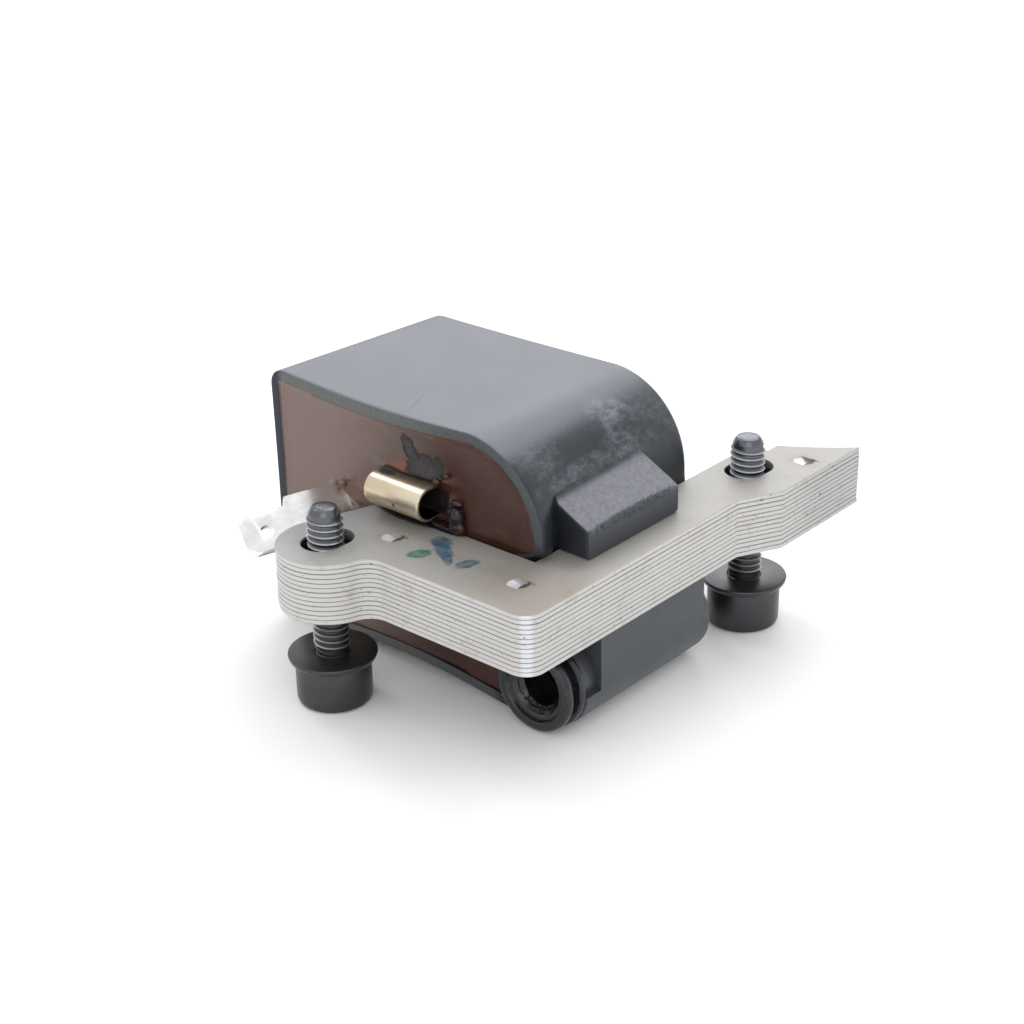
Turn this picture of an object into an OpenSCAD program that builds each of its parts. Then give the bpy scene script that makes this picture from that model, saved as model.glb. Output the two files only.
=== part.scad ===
// Ignition module of a small engine: a laminated steel core with two legs, a potted coil housing on
// the middle leg, a lead socket under the right leg and two loose mounting screws. Millimetres.
// Shapes are drawn from the sharp outer corner of the core: x runs along the base bar, y along the
// legs towards the flywheel, z up from the core's top face. The part is then shifted so that its
// origin lies midway between the two screws.

/* [Core] */
// Number of steel laminations in the stack
lam_count = 13; // [8:1:16]
// Thickness of one lamination with its coating
lam_t = 0.66; // [0.5:0.01:0.8]
// Depth of the base bar that joins the legs
base_d = 12.2; // [11:0.1:14]
// Width of the right leg
leg_w = 9.3; // [8:0.1:10.5]
// Width of the middle leg
mid_w = 8.7; // [7:0.1:9.5]
// Clear gap between the middle leg and the right leg
leg_gap = 12.8; // [12:0.1:14]
// Radius of the core's outer corner
core_corner_r = 2.8; // [1:0.1:4]
// Distance from the front edge to where the right leg starts to widen
jog_y = 43.1; // [41:0.1:45]
// Length of the slope where the leg widens
jog_len = 6.2; // [5:0.1:7]
// How far the toe stands out beyond the leg's outer edge
toe_out = 3.1; // [2:0.1:4]
// Distance from the front edge to where the inner edge of the right leg narrows
neck_y = 54.6; // [53:0.1:56]
// Length of the slope where the inner edge narrows
neck_len = 4.7; // [3:0.1:6]
// How far the inner edge steps in at the toe
neck_in = 3; // [1:0.1:4]
// Radius of the flywheel arc that cuts the pole faces
fly_r = 50.5; // [48:0.1:54]
// Distance from the front edge to the nearest point of that arc
fly_gap_y = 55; // [54:0.1:57]
// Distance of the flywheel's centre to the left of the core's corner
fly_left = 31; // [29:0.1:33]
// Radius of the mounting ear on the left
ear_r = 6.9; // [6.2:0.1:8]
// Distance of the ear's middle to the right of the left slot's middle
ear_right = 0.5; // [0:0.1:0.8]
// Distance of the ear's middle in front of the left slot's middle
ear_front = 0.4; // [0:0.1:0.6]
// Radius of the fillet between the ear and the front edge
ear_fillet_r = 3.2; // [2:0.1:4]
// Distance of the base bar's back left corner from the core's corner
base_left = 36.8; // [36:0.1:38.5]

/* [Screw slots] */
// Distance of the left slot from the core's corner, along the base
slot_left = 34.4; // [34:0.1:35]
// Distance of the left slot from the front edge
slot_front = 0.2; // [-0.5:0.1:1]
// Distance between the two slots along the base
slot_dx = 29.5; // [29:0.1:30]
// Distance between the two slots along the legs
slot_dy = 52.4; // [52:0.1:53]
// Width of a slot
slot_w = 5.6; // [5.3:0.1:6]
// Length of a slot along the legs
slot_len = 7.6; // [7:0.1:8.4]

/* [Interlocks] */
// Width of a stamped interlock pit, across its valley
pit_w = 2.4; // [1.4:0.1:2.6]
// Length of a stamped interlock pit along the legs
pit_len = 2.4; // [2:0.1:3.4]
// Depth of a stamped interlock pit
pit_d = 0.45; // [0.2:0.05:0.6]
// Distance of the left pit from the core's outer edge
pit_left_x = 28.3; // [27.6:0.1:28.6]
// Distance of the left pit from the front edge
pit_left_y = 5.9; // [4:0.1:8]
// Distance of the corner pit from the core's outer edge
pit_corner_x = 7.1; // [5:0.1:9]
// Distance of the corner pit from the front edge
pit_corner_y = 6.4; // [5:0.1:8]
// Distance of the toe's pit from the core's outer edge
pit_toe_x = 0.4; // [0:0.1:2]
// Distance of the toe's pit from the right slot's middle
pit_toe_y = 6.7; // [6:0.1:7.5]

/* [Housing] */
// Width of the coil housing
house_w = 47; // [46:0.1:50]
// Depth of the coil housing along the legs
house_d = 32.8; // [31:0.1:35]
// Height of the housing above the core's top face
house_up = 14.4; // [13:0.1:16]
// Height of the housing below the core's top face
house_down = 23.4; // [23:0.1:26]
// Wall thickness of the housing
wall = 1.4; // [1:0.1:1.6]
// Radius of the two left corners
corner_r = 2.3; // [2:0.1:4]
// Radius of the large corner over the right leg
shoulder_r = 12.5; // [9:0.1:13]
// Clearance between the housing and the right leg
leg_clear = 0.3; // [0.2:0.05:0.5]
// How far the housing stands out over the right leg, above the core
house_over = 0.7; // [0.2:0.1:1]
// Clearance round the middle leg where it leaves the back wall
window_clear = 0.2; // [0.1:0.05:0.4]

/* [Saddle lug] */
// Distance from the potting face to the front of the lug on the right leg
lug_front = 4.4; // [3:0.1:6]
// Length of the lug
lug_len = 18.7; // [15:0.1:20]
// How far the lug reaches over the leg
lug_reach = 5.5; // [4:0.1:7]
// Height of the lug's outer edge
lug_h = 3.85; // [3:0.05:5]
// Rise of the lug's top for each millimetre towards the housing
lug_rise = 0.5; // [0.3:0.05:0.6]

/* [Lead socket] */
// Distance of the socket's axis from the core's outer edge
socket_left = 8; // [7.5:0.1:8.5]
// Outer radius of the socket body
socket_r = 6.4; // [6.3:0.1:6.6]
// Distance from the potting face to the front of the socket body
socket_front = 1; // [0.8:0.1:1.6]
// Length of the socket body
socket_len = 26.9; // [25:0.1:28]
// Length of the flat flank above the socket
flank_len = 24.9; // [22:0.1:26]
// Length of the notch at the front of the flank
notch_len = 2.8; // [2:0.1:4]
// Distance of the notch's lower edge below the socket's axis
notch_low = 0.6; // [0:0.1:2]
// Radius of the round sleeve that shows in the notch
sleeve_r = 5.4; // [5.2:0.1:5.8]
// Thickness of the collar that keeps the potting out of the socket
collar = 1; // [0.8:0.1:1.2]
// Radius of the bore that takes the lead
lead_bore_r = 3.6; // [3.4:0.05:3.8]
// Depth of the lead's bore from the front of the socket body
lead_bore_len = 20; // [18:0.5:21]
// Radius of the counterbore that holds the seal
seal_seat_r = 4.6; // [4.4:0.1:4.9]
// Depth of the counterbore that holds the seal
seal_seat_len = 5.6; // [4:0.1:7]

/* [Lead seal] */
// Radius of the bore through the rubber seal
seal_bore_r = 3.5; // [3.2:0.05:3.6]
// Radius of the seal's front flange
seal_front_r = 6.1; // [5.6:0.1:6.3]
// Radius of the seal's back flange
seal_back_r = 6.3; // [5.8:0.1:6.4]
// Radius at the bottom of the groove between the flanges
seal_groove_r = 5.1; // [4.8:0.1:5.4]
// Thickness of the front flange
seal_front_t = 1.3; // [0.8:0.1:1.6]
// Width of the groove
seal_groove_t = 1; // [0.6:0.1:1.4]
// Thickness of the back flange
seal_back_t = 1.2; // [0.8:0.1:1.6]
// Radius that the two sealing lips leave open
seal_lip_r = 3.1; // [2.8:0.05:3.15]
// Length of the conical mouth
seal_mouth = 0.7; // [0.4:0.1:1]
// Width of a sealing lip
seal_lip_w = 1; // [0.6:0.1:1.2]
// Distance between the two lips
seal_lip_gap = 0.4; // [0.2:0.1:0.8]
// Distance of the lips from the seal's back end
seal_lip_in = 0.8; // [0.4:0.1:1.2]
// Size of the chamfer at the front flange's edge
seal_chamfer = 0.3; // [0.1:0.05:0.5]
// Clearance between the seal and its seat
seal_fit = 0.05; // [0.03:0.01:0.1]
// Clearance round the seal's back flange in the housing's mouth
well_clear = 0.15; // [0.1:0.05:0.3]

/* [Contact spike] */
// Radius of the spike that bites into the lead
spike_r = 0.9; // [0.6:0.05:1.1]
// Length of the spike in the lead's bore
spike_len = 11; // [8:0.1:13]
// Length of the spike's point
spike_point = 3; // [2:0.1:4]
// Radius of the spike's round foot
spike_foot_r = 2.2; // [1.6:0.1:2.4]
// Thickness of the spike's foot
spike_foot_t = 1.2; // [0.8:0.1:1.6]

/* [Ground clip] */
// Length of the clip along the base
clip_w = 9.7; // [8:0.1:11]
// Distance of the clip's right end from the core's outer edge
clip_left = 25.7; // [25:0.1:27]
// Outer height of the clip's loop
clip_h = 4.7; // [4:0.1:5.4]
// Height of the clip above the core's top face
clip_z = 1.4; // [1:0.1:2]
// How far the clip stands out of the potting
clip_out = 4.1; // [3.6:0.1:5]
// Thickness of the clip's strip
clip_t = 0.45; // [0.3:0.05:0.6]
// Depth of the clip's legs in the potting
clip_deep = 1.4; // [1:0.1:1.5]

/* [Kill terminal] */
// Width of the terminal's tab
tab_w = 6.3; // [4.8:0.1:6.6]
// Thickness of the terminal's strip
tab_t = 0.8; // [0.5:0.1:1]
// Extra width of the strip behind the shoulder
tab_shoulder = 1.3; // [0.8:0.1:1.6]
// Length of the tab in front of the shoulder
tab_len = 7.3; // [6:0.1:8]
// Length of the strip between the potting and the shoulder
tab_base_len = 8.4; // [8:0.1:9]
// Depth of the strip in the potting
tab_deep = 2.2; // [1.5:0.1:2.4]
// Direction of the strip, degrees from the x axis
tab_dir = 248; // [244:1:252]
// Slope of the strip across its width where it leaves the potting, degrees
tab_root_tilt = 50; // [45:1:54]
// Slope of the tab across its width, degrees
tab_end_tilt = 32; // [28:1:36]
// Radius of the hole in the tab
tab_hole_r = 0.9; // [0.6:0.05:1.1]
// Distance of the hole from the tab's end
tab_hole_in = 3.4; // [2.5:0.1:4]
// Height of the strip's upper edge at the potting
tab_z = 0.58; // [0.3:0.02:1]
// Distance of the strip's upper edge from the core's outer edge
tab_left = 44.1; // [43.8:0.1:45]
// Length of the cut corners at the tab's end
tab_cut = 1.1; // [0.6:0.1:1.6]
// Length of the slope at the shoulder
tab_slope = 0.5; // [0.3:0.1:1]
// How far the strip bows up between the potting and the shoulder
tab_bow = 0.35; // [0:0.05:0.5]
// How far the tab's end hangs below the shoulder
tab_drop = 0.5; // [0:0.05:0.6]
// Clearance that the potting leaves round the terminal
tab_clear = 0.1; // [0.05:0.01:0.15]

/* [Screws] */
// Radius of the free end of the thread
thread_r = 2.5; // [2.3:0.05:2.55]
// Radius of the plain cylinder that stands for the thread below
shank_r = 2.3; // [2.1:0.05:2.35]
// How far the screw's end stands above the core
thread_up = 4.9; // [4:0.1:6]
// Length of the chamfer at the screw's end
thread_chamfer = 0.8; // [0.4:0.1:1.2]
// Radius of the screw's end face
thread_end_r = 1.9; // [1.6:0.1:2.1]
// Gap between the core and the free end of the thread
thread_gap = 0.3; // [0.2:0.1:0.6]
// Gap between the core and the washer while the screw hangs loose
washer_gap = 7.7; // [6:0.1:9]
// Radius of the captive washer
washer_r = 6; // [5.5:0.1:6.5]
// Thickness of the captive washer
washer_t = 1; // [0.8:0.1:1.4]
// Radial clearance between the washer and the screw
washer_clear = 0.05; // [0.03:0.01:0.09]
// Radius of the screw's head
head_r = 5.1; // [4.6:0.1:5.4]
// Width across the flats of the socket in the head
key_w = 4; // [3:0.5:4]
// Depth of the socket in the head
key_d = 3; // [2:0.1:4]
// Distance of a loose screw from its slot's middle, along the base
play_x = -0.1; // [-0.15:0.05:0.15]
// Distance of a loose screw from its slot's middle, along the legs
play_y = -0.25; // [-0.6:0.05:0.6]

/* [Coil] */
// Clearance between the middle leg and the bobbin
bobbin_clear = 0.15; // [0.1:0.05:0.3]
// Wall thickness of the primary bobbin
bobbin_wall = 1; // [0.8:0.1:1.2]
// Thickness of the primary bobbin's end flanges
flange_t = 1.2; // [0.8:0.1:1.4]
// Depth of potting in front of the coil
coil_front = 2; // [1.8:0.1:2.4]
// Thickness of the primary winding
primary_t = 2.8; // [2:0.1:3]
// How far the primary winding stays below its flanges
primary_short = 0.2; // [0.1:0.05:0.4]
// Radius of the primary winding's corners
primary_corner_r = 3; // [2.4:0.1:3.4]
// Inner radius of the secondary bobbin
second_in_r = 11; // [10.6:0.1:11.4]
// Wall thickness of the secondary bobbin
second_wall = 1; // [0.8:0.1:1.2]
// Outer radius of the secondary bobbin's section walls
second_out_r = 14.6; // [14.2:0.1:14.8]
// Thickness of a section wall
section_t = 0.8; // [0.5:0.1:1]
// Number of winding sections
section_count = 4; // [3:1:6]
// How far the secondary winding stays below its section walls
second_short = 0.6; // [0.3:0.1:1]
// Distance between the secondary bobbin and the primary bobbin's flanges
second_gap = 0.4; // [0.2:0.1:0.6]

/* [Electronics] */
// Thickness of the circuit board
board_t = 1.6; // [1:0.1:1.8]
// Length of the circuit board along the legs
board_len = 24; // [22:0.1:25]
// Height of the circuit board
board_h = 28; // [26:0.1:29]
// Gap between the circuit board and the coil
board_gap = 1.3; // [1:0.1:1.6]
// Distance from the potting face to the circuit board
board_front = 4.6; // [4.4:0.1:5.5]
// Thickness of the film capacitor
cap_t = 6.5; // [5:0.1:7.5]
// Length of the film capacitor
cap_len = 13; // [11:0.1:14]
// Height of the film capacitor
cap_h = 11; // [9:0.1:12]
// Thickness of the power transistor
chip_t = 4.4; // [3.5:0.1:5]
// Width of the power transistor
chip_w = 10; // [9:0.1:10.6]
// Height of the power transistor
chip_h = 9; // [8:0.1:10]
// Distance between the fitted parts and from them to the board's edges
fit_inset = 1.4; // [1:0.1:1.6]
// Number of resistors
resistor_count = 2; // [1:1:2]
// Radius of a resistor's body
resistor_r = 1.2; // [0.9:0.05:1.4]
// Length of a resistor's body
resistor_len = 6.5; // [5:0.1:7]
// Radius of the diode's body
diode_r = 1.35; // [1:0.05:1.5]
// Length of the diode's body
diode_len = 5.2; // [4:0.1:6]
// Radius of the connecting wires
wire_r = 0.4; // [0.3:0.05:0.5]
// Height of the primary winding's leads above and below the coil's axis
lead_spread = 6; // [4.5:0.1:7]
// How far the ground wire overlaps the ground clip's leg
clip_overlap = 2; // [1:0.1:4]
// Radius of the high tension wire
ht_wire_r = 0.5; // [0.3:0.05:0.6]
// Clearance that the potting leaves round what it holds
pot_clear = 0.03; // [0.02:0.01:0.05]

/* [Hidden] */
$fn = 64;
eps = 0.01;
cut = 1;

lam_names = [for (i = [1 : lam_count]) str("lamination_", i < 10 ? "0" : "", i)];

core_h = lam_count * lam_t;
mid_right = -(leg_w + leg_gap);
mid_left = mid_right - mid_w;
mid_x = (mid_left + mid_right) / 2;
core_mid_z = -core_h / 2;
fly_y = fly_gap_y + fly_r;

slots = [[-slot_left, slot_front], [slot_dx - slot_left, slot_front + slot_dy]];
screws = [for (s = slots) s + [play_x, play_y]];
origin = (screws[0] + screws[1]) / 2;
ear = slots[0] + [ear_right, -ear_front];
pits = [[-pit_left_x, pit_left_y], [-pit_corner_x, pit_corner_y], [-pit_toe_x, slots[1].y + pit_toe_y]];

house_right = -(leg_w + leg_clear);
house_side = house_right + house_over;
house_left = house_right - house_w;
house_back = base_d + house_d;
house_low = -house_down;
inner_back = house_back - wall;

socket_x = -socket_left;
socket_z = house_low + socket_r;
socket_y = base_d + socket_front;
socket_back = socket_y + socket_len;
bore_end = socket_y + lead_bore_len;
well_r = seal_back_r + well_clear;

coil_y = base_d + coil_front;
coil_end = inner_back - pot_clear;
bobbin_in_w = mid_w + 2 * bobbin_clear;
bobbin_in_h = core_h + 2 * bobbin_clear;
bobbin_out_w = bobbin_in_w + 2 * bobbin_wall;
bobbin_out_h = bobbin_in_h + 2 * bobbin_wall;
primary_y = coil_y + flange_t;
primary_end = coil_end - flange_t;
flange_w = bobbin_out_w + 2 * primary_t;
flange_h = bobbin_out_h + 2 * primary_t;
second_y = primary_y + second_gap;
second_end = primary_end - second_gap;
section_pitch = (second_end - second_y - section_t) / section_count;
winding_r = second_out_r - second_short;

// The high tension wire leaves the middle of the last winding section
ht_y = second_y + (section_count - 0.5) * section_pitch + section_t / 2;

board_x = mid_x - second_out_r - board_gap - board_t;
board_y = base_d + board_front;
board_z = core_mid_z - board_h / 2;
board_top = board_z + board_h;

tab_along = [cos(tab_dir), sin(tab_dir), 0];
tab_side = [-tab_along.y, tab_along.x, 0];
tab_edge = [-tab_left, base_d, tab_z];
tab_full_w = tab_w + tab_shoulder;
tab_stop = tab_base_len + tab_len;
tab_sunk = tab_deep / sin(tab_dir - 180);
tab_steps = [for (i = [0 : 8]) i * (tab_base_len + tab_sunk) / 8 - tab_sunk];

washer_z = -core_h - washer_gap - washer_t;
head_h = washer_z - house_low;

// Moves a shape drawn from the core's corner into the part's own frame
module placed() translate([-origin.x, -origin.y, 0]) children();

// Extrudes an outline drawn in x and z, from y0 to y1
module along_y(y0, y1) translate([0, y1, 0]) rotate([90, 0, 0]) linear_extrude(y1 - y0) children();

// A round bar along y with its axis at x and z
module rod_y(x, z, y0, y1, r) translate([x, y1, z]) rotate([90, 0, 0]) cylinder(h = y1 - y0, r = r);

// What a rounding takes off a corner; sx and sz point from the corner into the outline
module corner_off(x, z, sx, sz, r) {
    difference() {
        translate([sx > 0 ? x - cut : x - r, sz > 0 ? z - cut : z - r]) square(r + cut);
        translate([x + sx * r, z + sz * r]) circle(r);
    }
}

// Rectangle with its own radius at each corner: bottom left, bottom right, top right, top left
module rounded(x0, z0, x1, z1, radii) {
    difference() {
        translate([x0, z0]) square([x1 - x0, z1 - z0]);
        if (radii[0] > 0) corner_off(x0, z0, 1, 1, radii[0]);
        if (radii[1] > 0) corner_off(x1, z0, -1, 1, radii[1]);
        if (radii[2] > 0) corner_off(x1, z1, -1, -1, radii[2]);
        if (radii[3] > 0) corner_off(x0, z1, 1, -1, radii[3]);
    }
}

module slot_outline(at) {
    run = slot_len - slot_w;
    translate(at) {
        translate([-slot_w / 2, -run / 2]) square([slot_w, run]);
        for (s = [-1, 1]) translate([0, s * run / 2]) circle(slot_w / 2);
    }
}

// The ear, its tangent to the base bar's back left corner and its fillet into the front edge
module ear_outline() {
    corner = [-base_left, base_d];
    d = corner - ear;
    turn = atan2(d.y, d.x) + acos(ear_r / norm(d));
    tangent = ear + ear_r * [cos(turn), sin(turn)];
    drop = ear_fillet_r + ear.y;
    reach = sqrt(pow(ear_r + ear_fillet_r, 2) - pow(drop, 2));
    fillet = [ear.x + reach, -ear_fillet_r];
    translate(ear) circle(ear_r);
    polygon([ear, [ear.x, base_d], corner, tangent]);
    difference() {
        polygon([ear, fillet, [fillet.x, eps], [ear.x, eps]]);
        translate(fillet) circle(ear_fillet_r);
    }
}

module right_leg_outline() {
    polygon([
        [-leg_w, 0], [0, 0], [0, jog_y], [toe_out, jog_y + jog_len], [toe_out, fly_y],
        [neck_in - leg_w, fly_y], [neck_in - leg_w, neck_y + neck_len], [-leg_w, neck_y]
    ]);
}

module core_outline() {
    difference() {
        union() {
            ear_outline();
            translate([ear.x, 0]) square([-ear.x, base_d]);
            translate([mid_left, 0]) square([mid_w, fly_y]);
            right_leg_outline();
        }
        translate([-fly_left, fly_y]) circle(fly_r, $fn = 180);
        corner_off(0, 0, -1, 1, core_corner_r);
        for (s = slots) slot_outline(s);
    }
}

// Wedges that point down, for the stamped interlocks
module pit_wedges(top) {
    for (p = pits)
        along_y(p.y - pit_len / 2, p.y + pit_len / 2) translate([p.x, top])
            polygon([[-pit_w / 2, 0], [0, -pit_d], [pit_w / 2, 0]]);
}

module lamination(i) {
    top = -i * lam_t;
    color("silver") placed() difference() {
        union() {
            translate([0, 0, top - lam_t]) linear_extrude(lam_t) core_outline();
            pit_wedges(top - lam_t);
        }
        pit_wedges(top);
    }
}

// Outline of the housing, moved inwards by inset; below the core's top it draws back beside the leg
module house_outline(inset) {
    difference() {
        rounded(
            house_left + inset, house_low + inset, house_side - inset, house_up - inset,
            [corner_r - inset, 0, shoulder_r - inset, corner_r - inset]
        );
        translate([house_right - inset, house_low - cut]) square([house_over + cut, inset + cut - house_low]);
    }
}

module socket_circle(r) translate([socket_x, socket_z]) circle(r);

module cavity_outline() {
    difference() {
        house_outline(wall);
        socket_circle(socket_r + collar);
    }
}

// Body of the lead socket: a round tube with a flat flank up to the underside of the leg
module socket_body() {
    along_y(socket_y, socket_back) {
        socket_circle(socket_r);
        translate([house_right - eps, house_low]) square([socket_x - house_right + eps, socket_r]);
    }
    along_y(socket_y, socket_y + flank_len)
        translate([house_right - eps, socket_z]) square([socket_x + socket_r - house_right + eps, -core_h - socket_z]);
}

// The flank starts behind the notch, where the round sleeve of the socket shows
module flank_notch() {
    along_y(socket_y - cut, socket_y + notch_len) difference() {
        translate([socket_x, socket_z - notch_low]) square([socket_r + cut, socket_r * 2]);
        socket_circle(sleeve_r);
    }
}

module saddle_lug() {
    y0 = base_d + lug_front;
    inner = wall + lug_reach;
    along_y(y0, y0 + lug_len) translate([house_right - wall, 0])
        polygon([[0, 0], [inner, 0], [inner, lug_h], [0, lug_h + inner * lug_rise]]);
}

module leg_passage(gap) {
    translate([mid_left - gap, base_d - cut, -core_h - gap])
        cube([mid_w + 2 * gap, house_d + 2 * cut, core_h + 2 * gap]);
}

module coil_housing() {
    color("dimgray") placed() difference() {
        union() {
            along_y(base_d, house_back) house_outline(0);
            socket_body();
            saddle_lug();
        }
        along_y(base_d - cut, inner_back) cavity_outline();
        leg_passage(window_clear);
        rod_y(socket_x, socket_z, base_d - cut, socket_y, well_r);
        flank_notch();
        rod_y(socket_x, socket_z, socket_y - cut, socket_y + seal_seat_len, seal_seat_r);
        rod_y(socket_x, socket_z, socket_y - cut, bore_end, lead_bore_r);
        spike_root_shape(pot_clear);
        ht_wire_shape(pot_clear);
    }
}

module potting_compound() {
    color("saddlebrown") placed() difference() {
        along_y(base_d, inner_back) cavity_outline();
        leg_passage(pot_clear);
        coil_space();
        board_shape(pot_clear);
        capacitor_shape(pot_clear);
        transistor_shape(pot_clear);
        resistor_shape(pot_clear);
        diode_shape(pot_clear);
        primary_leads_shape(pot_clear);
        ground_wire_shape(pot_clear);
        kill_wire_shape(pot_clear);
        ht_wire_shape(pot_clear);
        clip_shape(pot_clear);
        tab_pocket();
    }
}

// A block round the axis of the middle leg
module centred_block(w, h, y0, y1) {
    translate([mid_x - w / 2, y0, core_mid_z - h / 2]) cube([w, y1 - y0, h]);
}

// The room that the potting leaves for the bobbins and windings; it fills the gap between the two
module coil_space() {
    g = pot_clear;
    centred_block(flange_w + 2 * g, flange_h + 2 * g, coil_y - g, coil_end + g);
    difference() {
        rod_y(mid_x, core_mid_z, second_y - g, second_end + g, second_out_r + g);
        rod_y(mid_x, core_mid_z, second_y - cut, second_end + cut, second_in_r - g);
    }
}

module primary_bobbin() {
    color("ivory") placed() difference() {
        union() {
            centred_block(bobbin_out_w, bobbin_out_h, coil_y, coil_end);
            centred_block(flange_w, flange_h, coil_y, coil_y + flange_t);
            centred_block(flange_w, flange_h, coil_end - flange_t, coil_end);
        }
        centred_block(bobbin_in_w, bobbin_in_h, coil_y - cut, coil_end + cut);
    }
}

module primary_winding() {
    w = flange_w / 2 - primary_short;
    h = flange_h / 2 - primary_short;
    color("peru") placed() difference() {
        along_y(primary_y, primary_end) translate([mid_x, core_mid_z])
            rounded(-w, -h, w, h, [for (i = [0 : 3]) primary_corner_r]);
        centred_block(bobbin_out_w, bobbin_out_h, primary_y - cut, primary_end + cut);
    }
}

module secondary_bobbin() {
    color("ivory") placed() difference() {
        union() {
            rod_y(mid_x, core_mid_z, second_y, second_end, second_in_r + second_wall);
            for (i = [0 : section_count]) {
                y0 = second_y + i * section_pitch;
                rod_y(mid_x, core_mid_z, y0, y0 + section_t, second_out_r);
            }
        }
        rod_y(mid_x, core_mid_z, second_y - cut, second_end + cut, second_in_r);
    }
}

module secondary_winding() {
    color("chocolate") placed() for (i = [0 : section_count - 1]) {
        y0 = second_y + i * section_pitch + section_t;
        y1 = second_y + (i + 1) * section_pitch;
        difference() {
            rod_y(mid_x, core_mid_z, y0, y1, winding_r);
            rod_y(mid_x, core_mid_z, y0 - cut, y1 + cut, second_in_r + second_wall);
        }
    }
}

module board_shape(g) {
    translate([board_x - g, board_y - g, board_z - g])
        cube([board_t + 2 * g, board_len + 2 * g, board_h + 2 * g]);
}

// A block on the board's outer face, placed from the board's front end and its top
module on_board(t, len, h, from_front, from_top, g) {
    translate([board_x - t - g, board_y + from_front - g, board_top - from_top - h - g])
        cube([t + g, len + 2 * g, h + 2 * g]);
}

// A lying cylinder on the board's outer face, placed from the board's bottom
module rod_on_board(r, len, from_bottom, g) {
    y0 = board_y + fit_inset;
    rod_y(board_x - r, board_z + from_bottom + r, y0 - g, y0 + len + g, r + g);
}

module capacitor_shape(g) on_board(cap_t, cap_len, cap_h, fit_inset, fit_inset, g);

module transistor_shape(g) {
    on_board(chip_t, chip_w, chip_h, board_len - fit_inset - chip_w, 2 * fit_inset + cap_h, g);
}

module resistor_shape(g) {
    for (i = [0 : resistor_count - 1])
        rod_on_board(resistor_r, resistor_len, fit_inset + i * (2 * resistor_r + fit_inset), g);
}

module diode_shape(g) {
    rod_on_board(diode_r, diode_len, fit_inset + resistor_count * (2 * resistor_r + fit_inset), g);
}

module circuit_board() color("darkgreen") placed() board_shape(0);

module film_capacitor() color("firebrick") placed() capacitor_shape(0);

module power_transistor() color("black") placed() transistor_shape(0);

module resistors() color("tan") placed() resistor_shape(0);

module clamp_diode() color("black") placed() diode_shape(0);

// A wire that runs along x at the given y and z, then turns back to the board's front edge
module elbow_wire(x_end, y, z, g) {
    x0 = board_x + board_t / 2;
    r = wire_r + g;
    translate([x0, y, z]) {
        sphere(r);
        rotate([0, 90, 0]) cylinder(h = x_end - x0 + g, r = r);
    }
    rod_y(x0, z, y, board_y + g, r);
}

// The two ends of the primary winding, led from the bobbin's front flange to the board
module primary_leads_shape(g) {
    for (s = [-1, 1]) elbow_wire(mid_x - flange_w / 2, coil_y + flange_t / 2, core_mid_z + s * lead_spread, g);
}

module primary_leads() color("peru") placed() primary_leads_shape(0);

// From the end of the ground clip's upper leg to the board
module ground_wire_shape(g) {
    y = base_d + clip_deep + pot_clear + wire_r;
    elbow_wire(-clip_left - clip_w + clip_overlap, y, clip_z + clip_h - clip_t / 2, g);
}

module ground_wire() color("peru") placed() ground_wire_shape(0);

// From the sunk end of the kill terminal straight back to the board
module kill_wire_shape(g) {
    s = tab_steps[0];
    at = tab_edge + tab_along * s + tab_across(s) * tab_t;
    rod_y(at.x, at.z, base_d + tab_deep, board_y + g, wire_r + g);
}

module kill_wire() color("peru") placed() kill_wire_shape(0);

// A straight wire from the last section of the secondary winding to the stem of the spike
module ht_wire_shape(g) {
    d = [socket_x - mid_x, socket_z - core_mid_z];
    translate([mid_x, ht_y, core_mid_z]) rotate([0, -atan2(d.y, d.x), 0]) translate([winding_r, 0, 0])
        rotate([0, 90, 0]) cylinder(h = norm(d) - winding_r - spike_r, r = ht_wire_r + g);
}

module ht_wire() color("peru") placed() ht_wire_shape(0);

// The spike's foot lies in the end of the lead's bore and its stem reaches back to the wire
module spike_root_shape(g) {
    rod_y(socket_x, socket_z, bore_end - cut * sign(g), bore_end + spike_foot_t + g, spike_foot_r + g);
    rod_y(socket_x, socket_z, bore_end, ht_y + ht_wire_r + g, spike_r + g);
}

module ht_contact_spike() color("gold") placed() {
    spike_root_shape(0);
    translate([socket_x, bore_end + eps, socket_z]) rotate([90, 0, 0]) {
        cylinder(h = spike_len - spike_point, r = spike_r);
        translate([0, 0, spike_len - spike_point]) cylinder(h = spike_point, r1 = spike_r, r2 = spike_r / 8);
    }
}

// Outline of a sealing lip that starts at y and runs towards the mouth
function lip(y) = [[seal_bore_r, y], [seal_lip_r, y - seal_lip_w / 2], [seal_bore_r, y - seal_lip_w]];

module lead_seal() {
    front = socket_y - seal_back_t - seal_groove_t - seal_front_t;
    a = seal_front_t;
    b = a + seal_groove_t;
    c = b + seal_back_t;
    d = c + seal_seat_len - seal_fit;
    neck = seal_seat_r - seal_fit;
    color("black") placed() translate([socket_x, front, socket_z]) rotate([-90, 0, 0]) rotate_extrude()
        polygon([
            [seal_bore_r + seal_mouth, 0], [seal_front_r - seal_chamfer, 0], [seal_front_r, seal_chamfer],
            [seal_front_r, a], [seal_groove_r, a], [seal_groove_r, b], [seal_back_r, b], [seal_back_r, c],
            [neck, c], [neck, d], [seal_bore_r, d], each lip(d - seal_lip_in),
            each lip(d - seal_lip_in - seal_lip_w - seal_lip_gap), [seal_bore_r, seal_mouth]
        ]);
}

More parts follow.
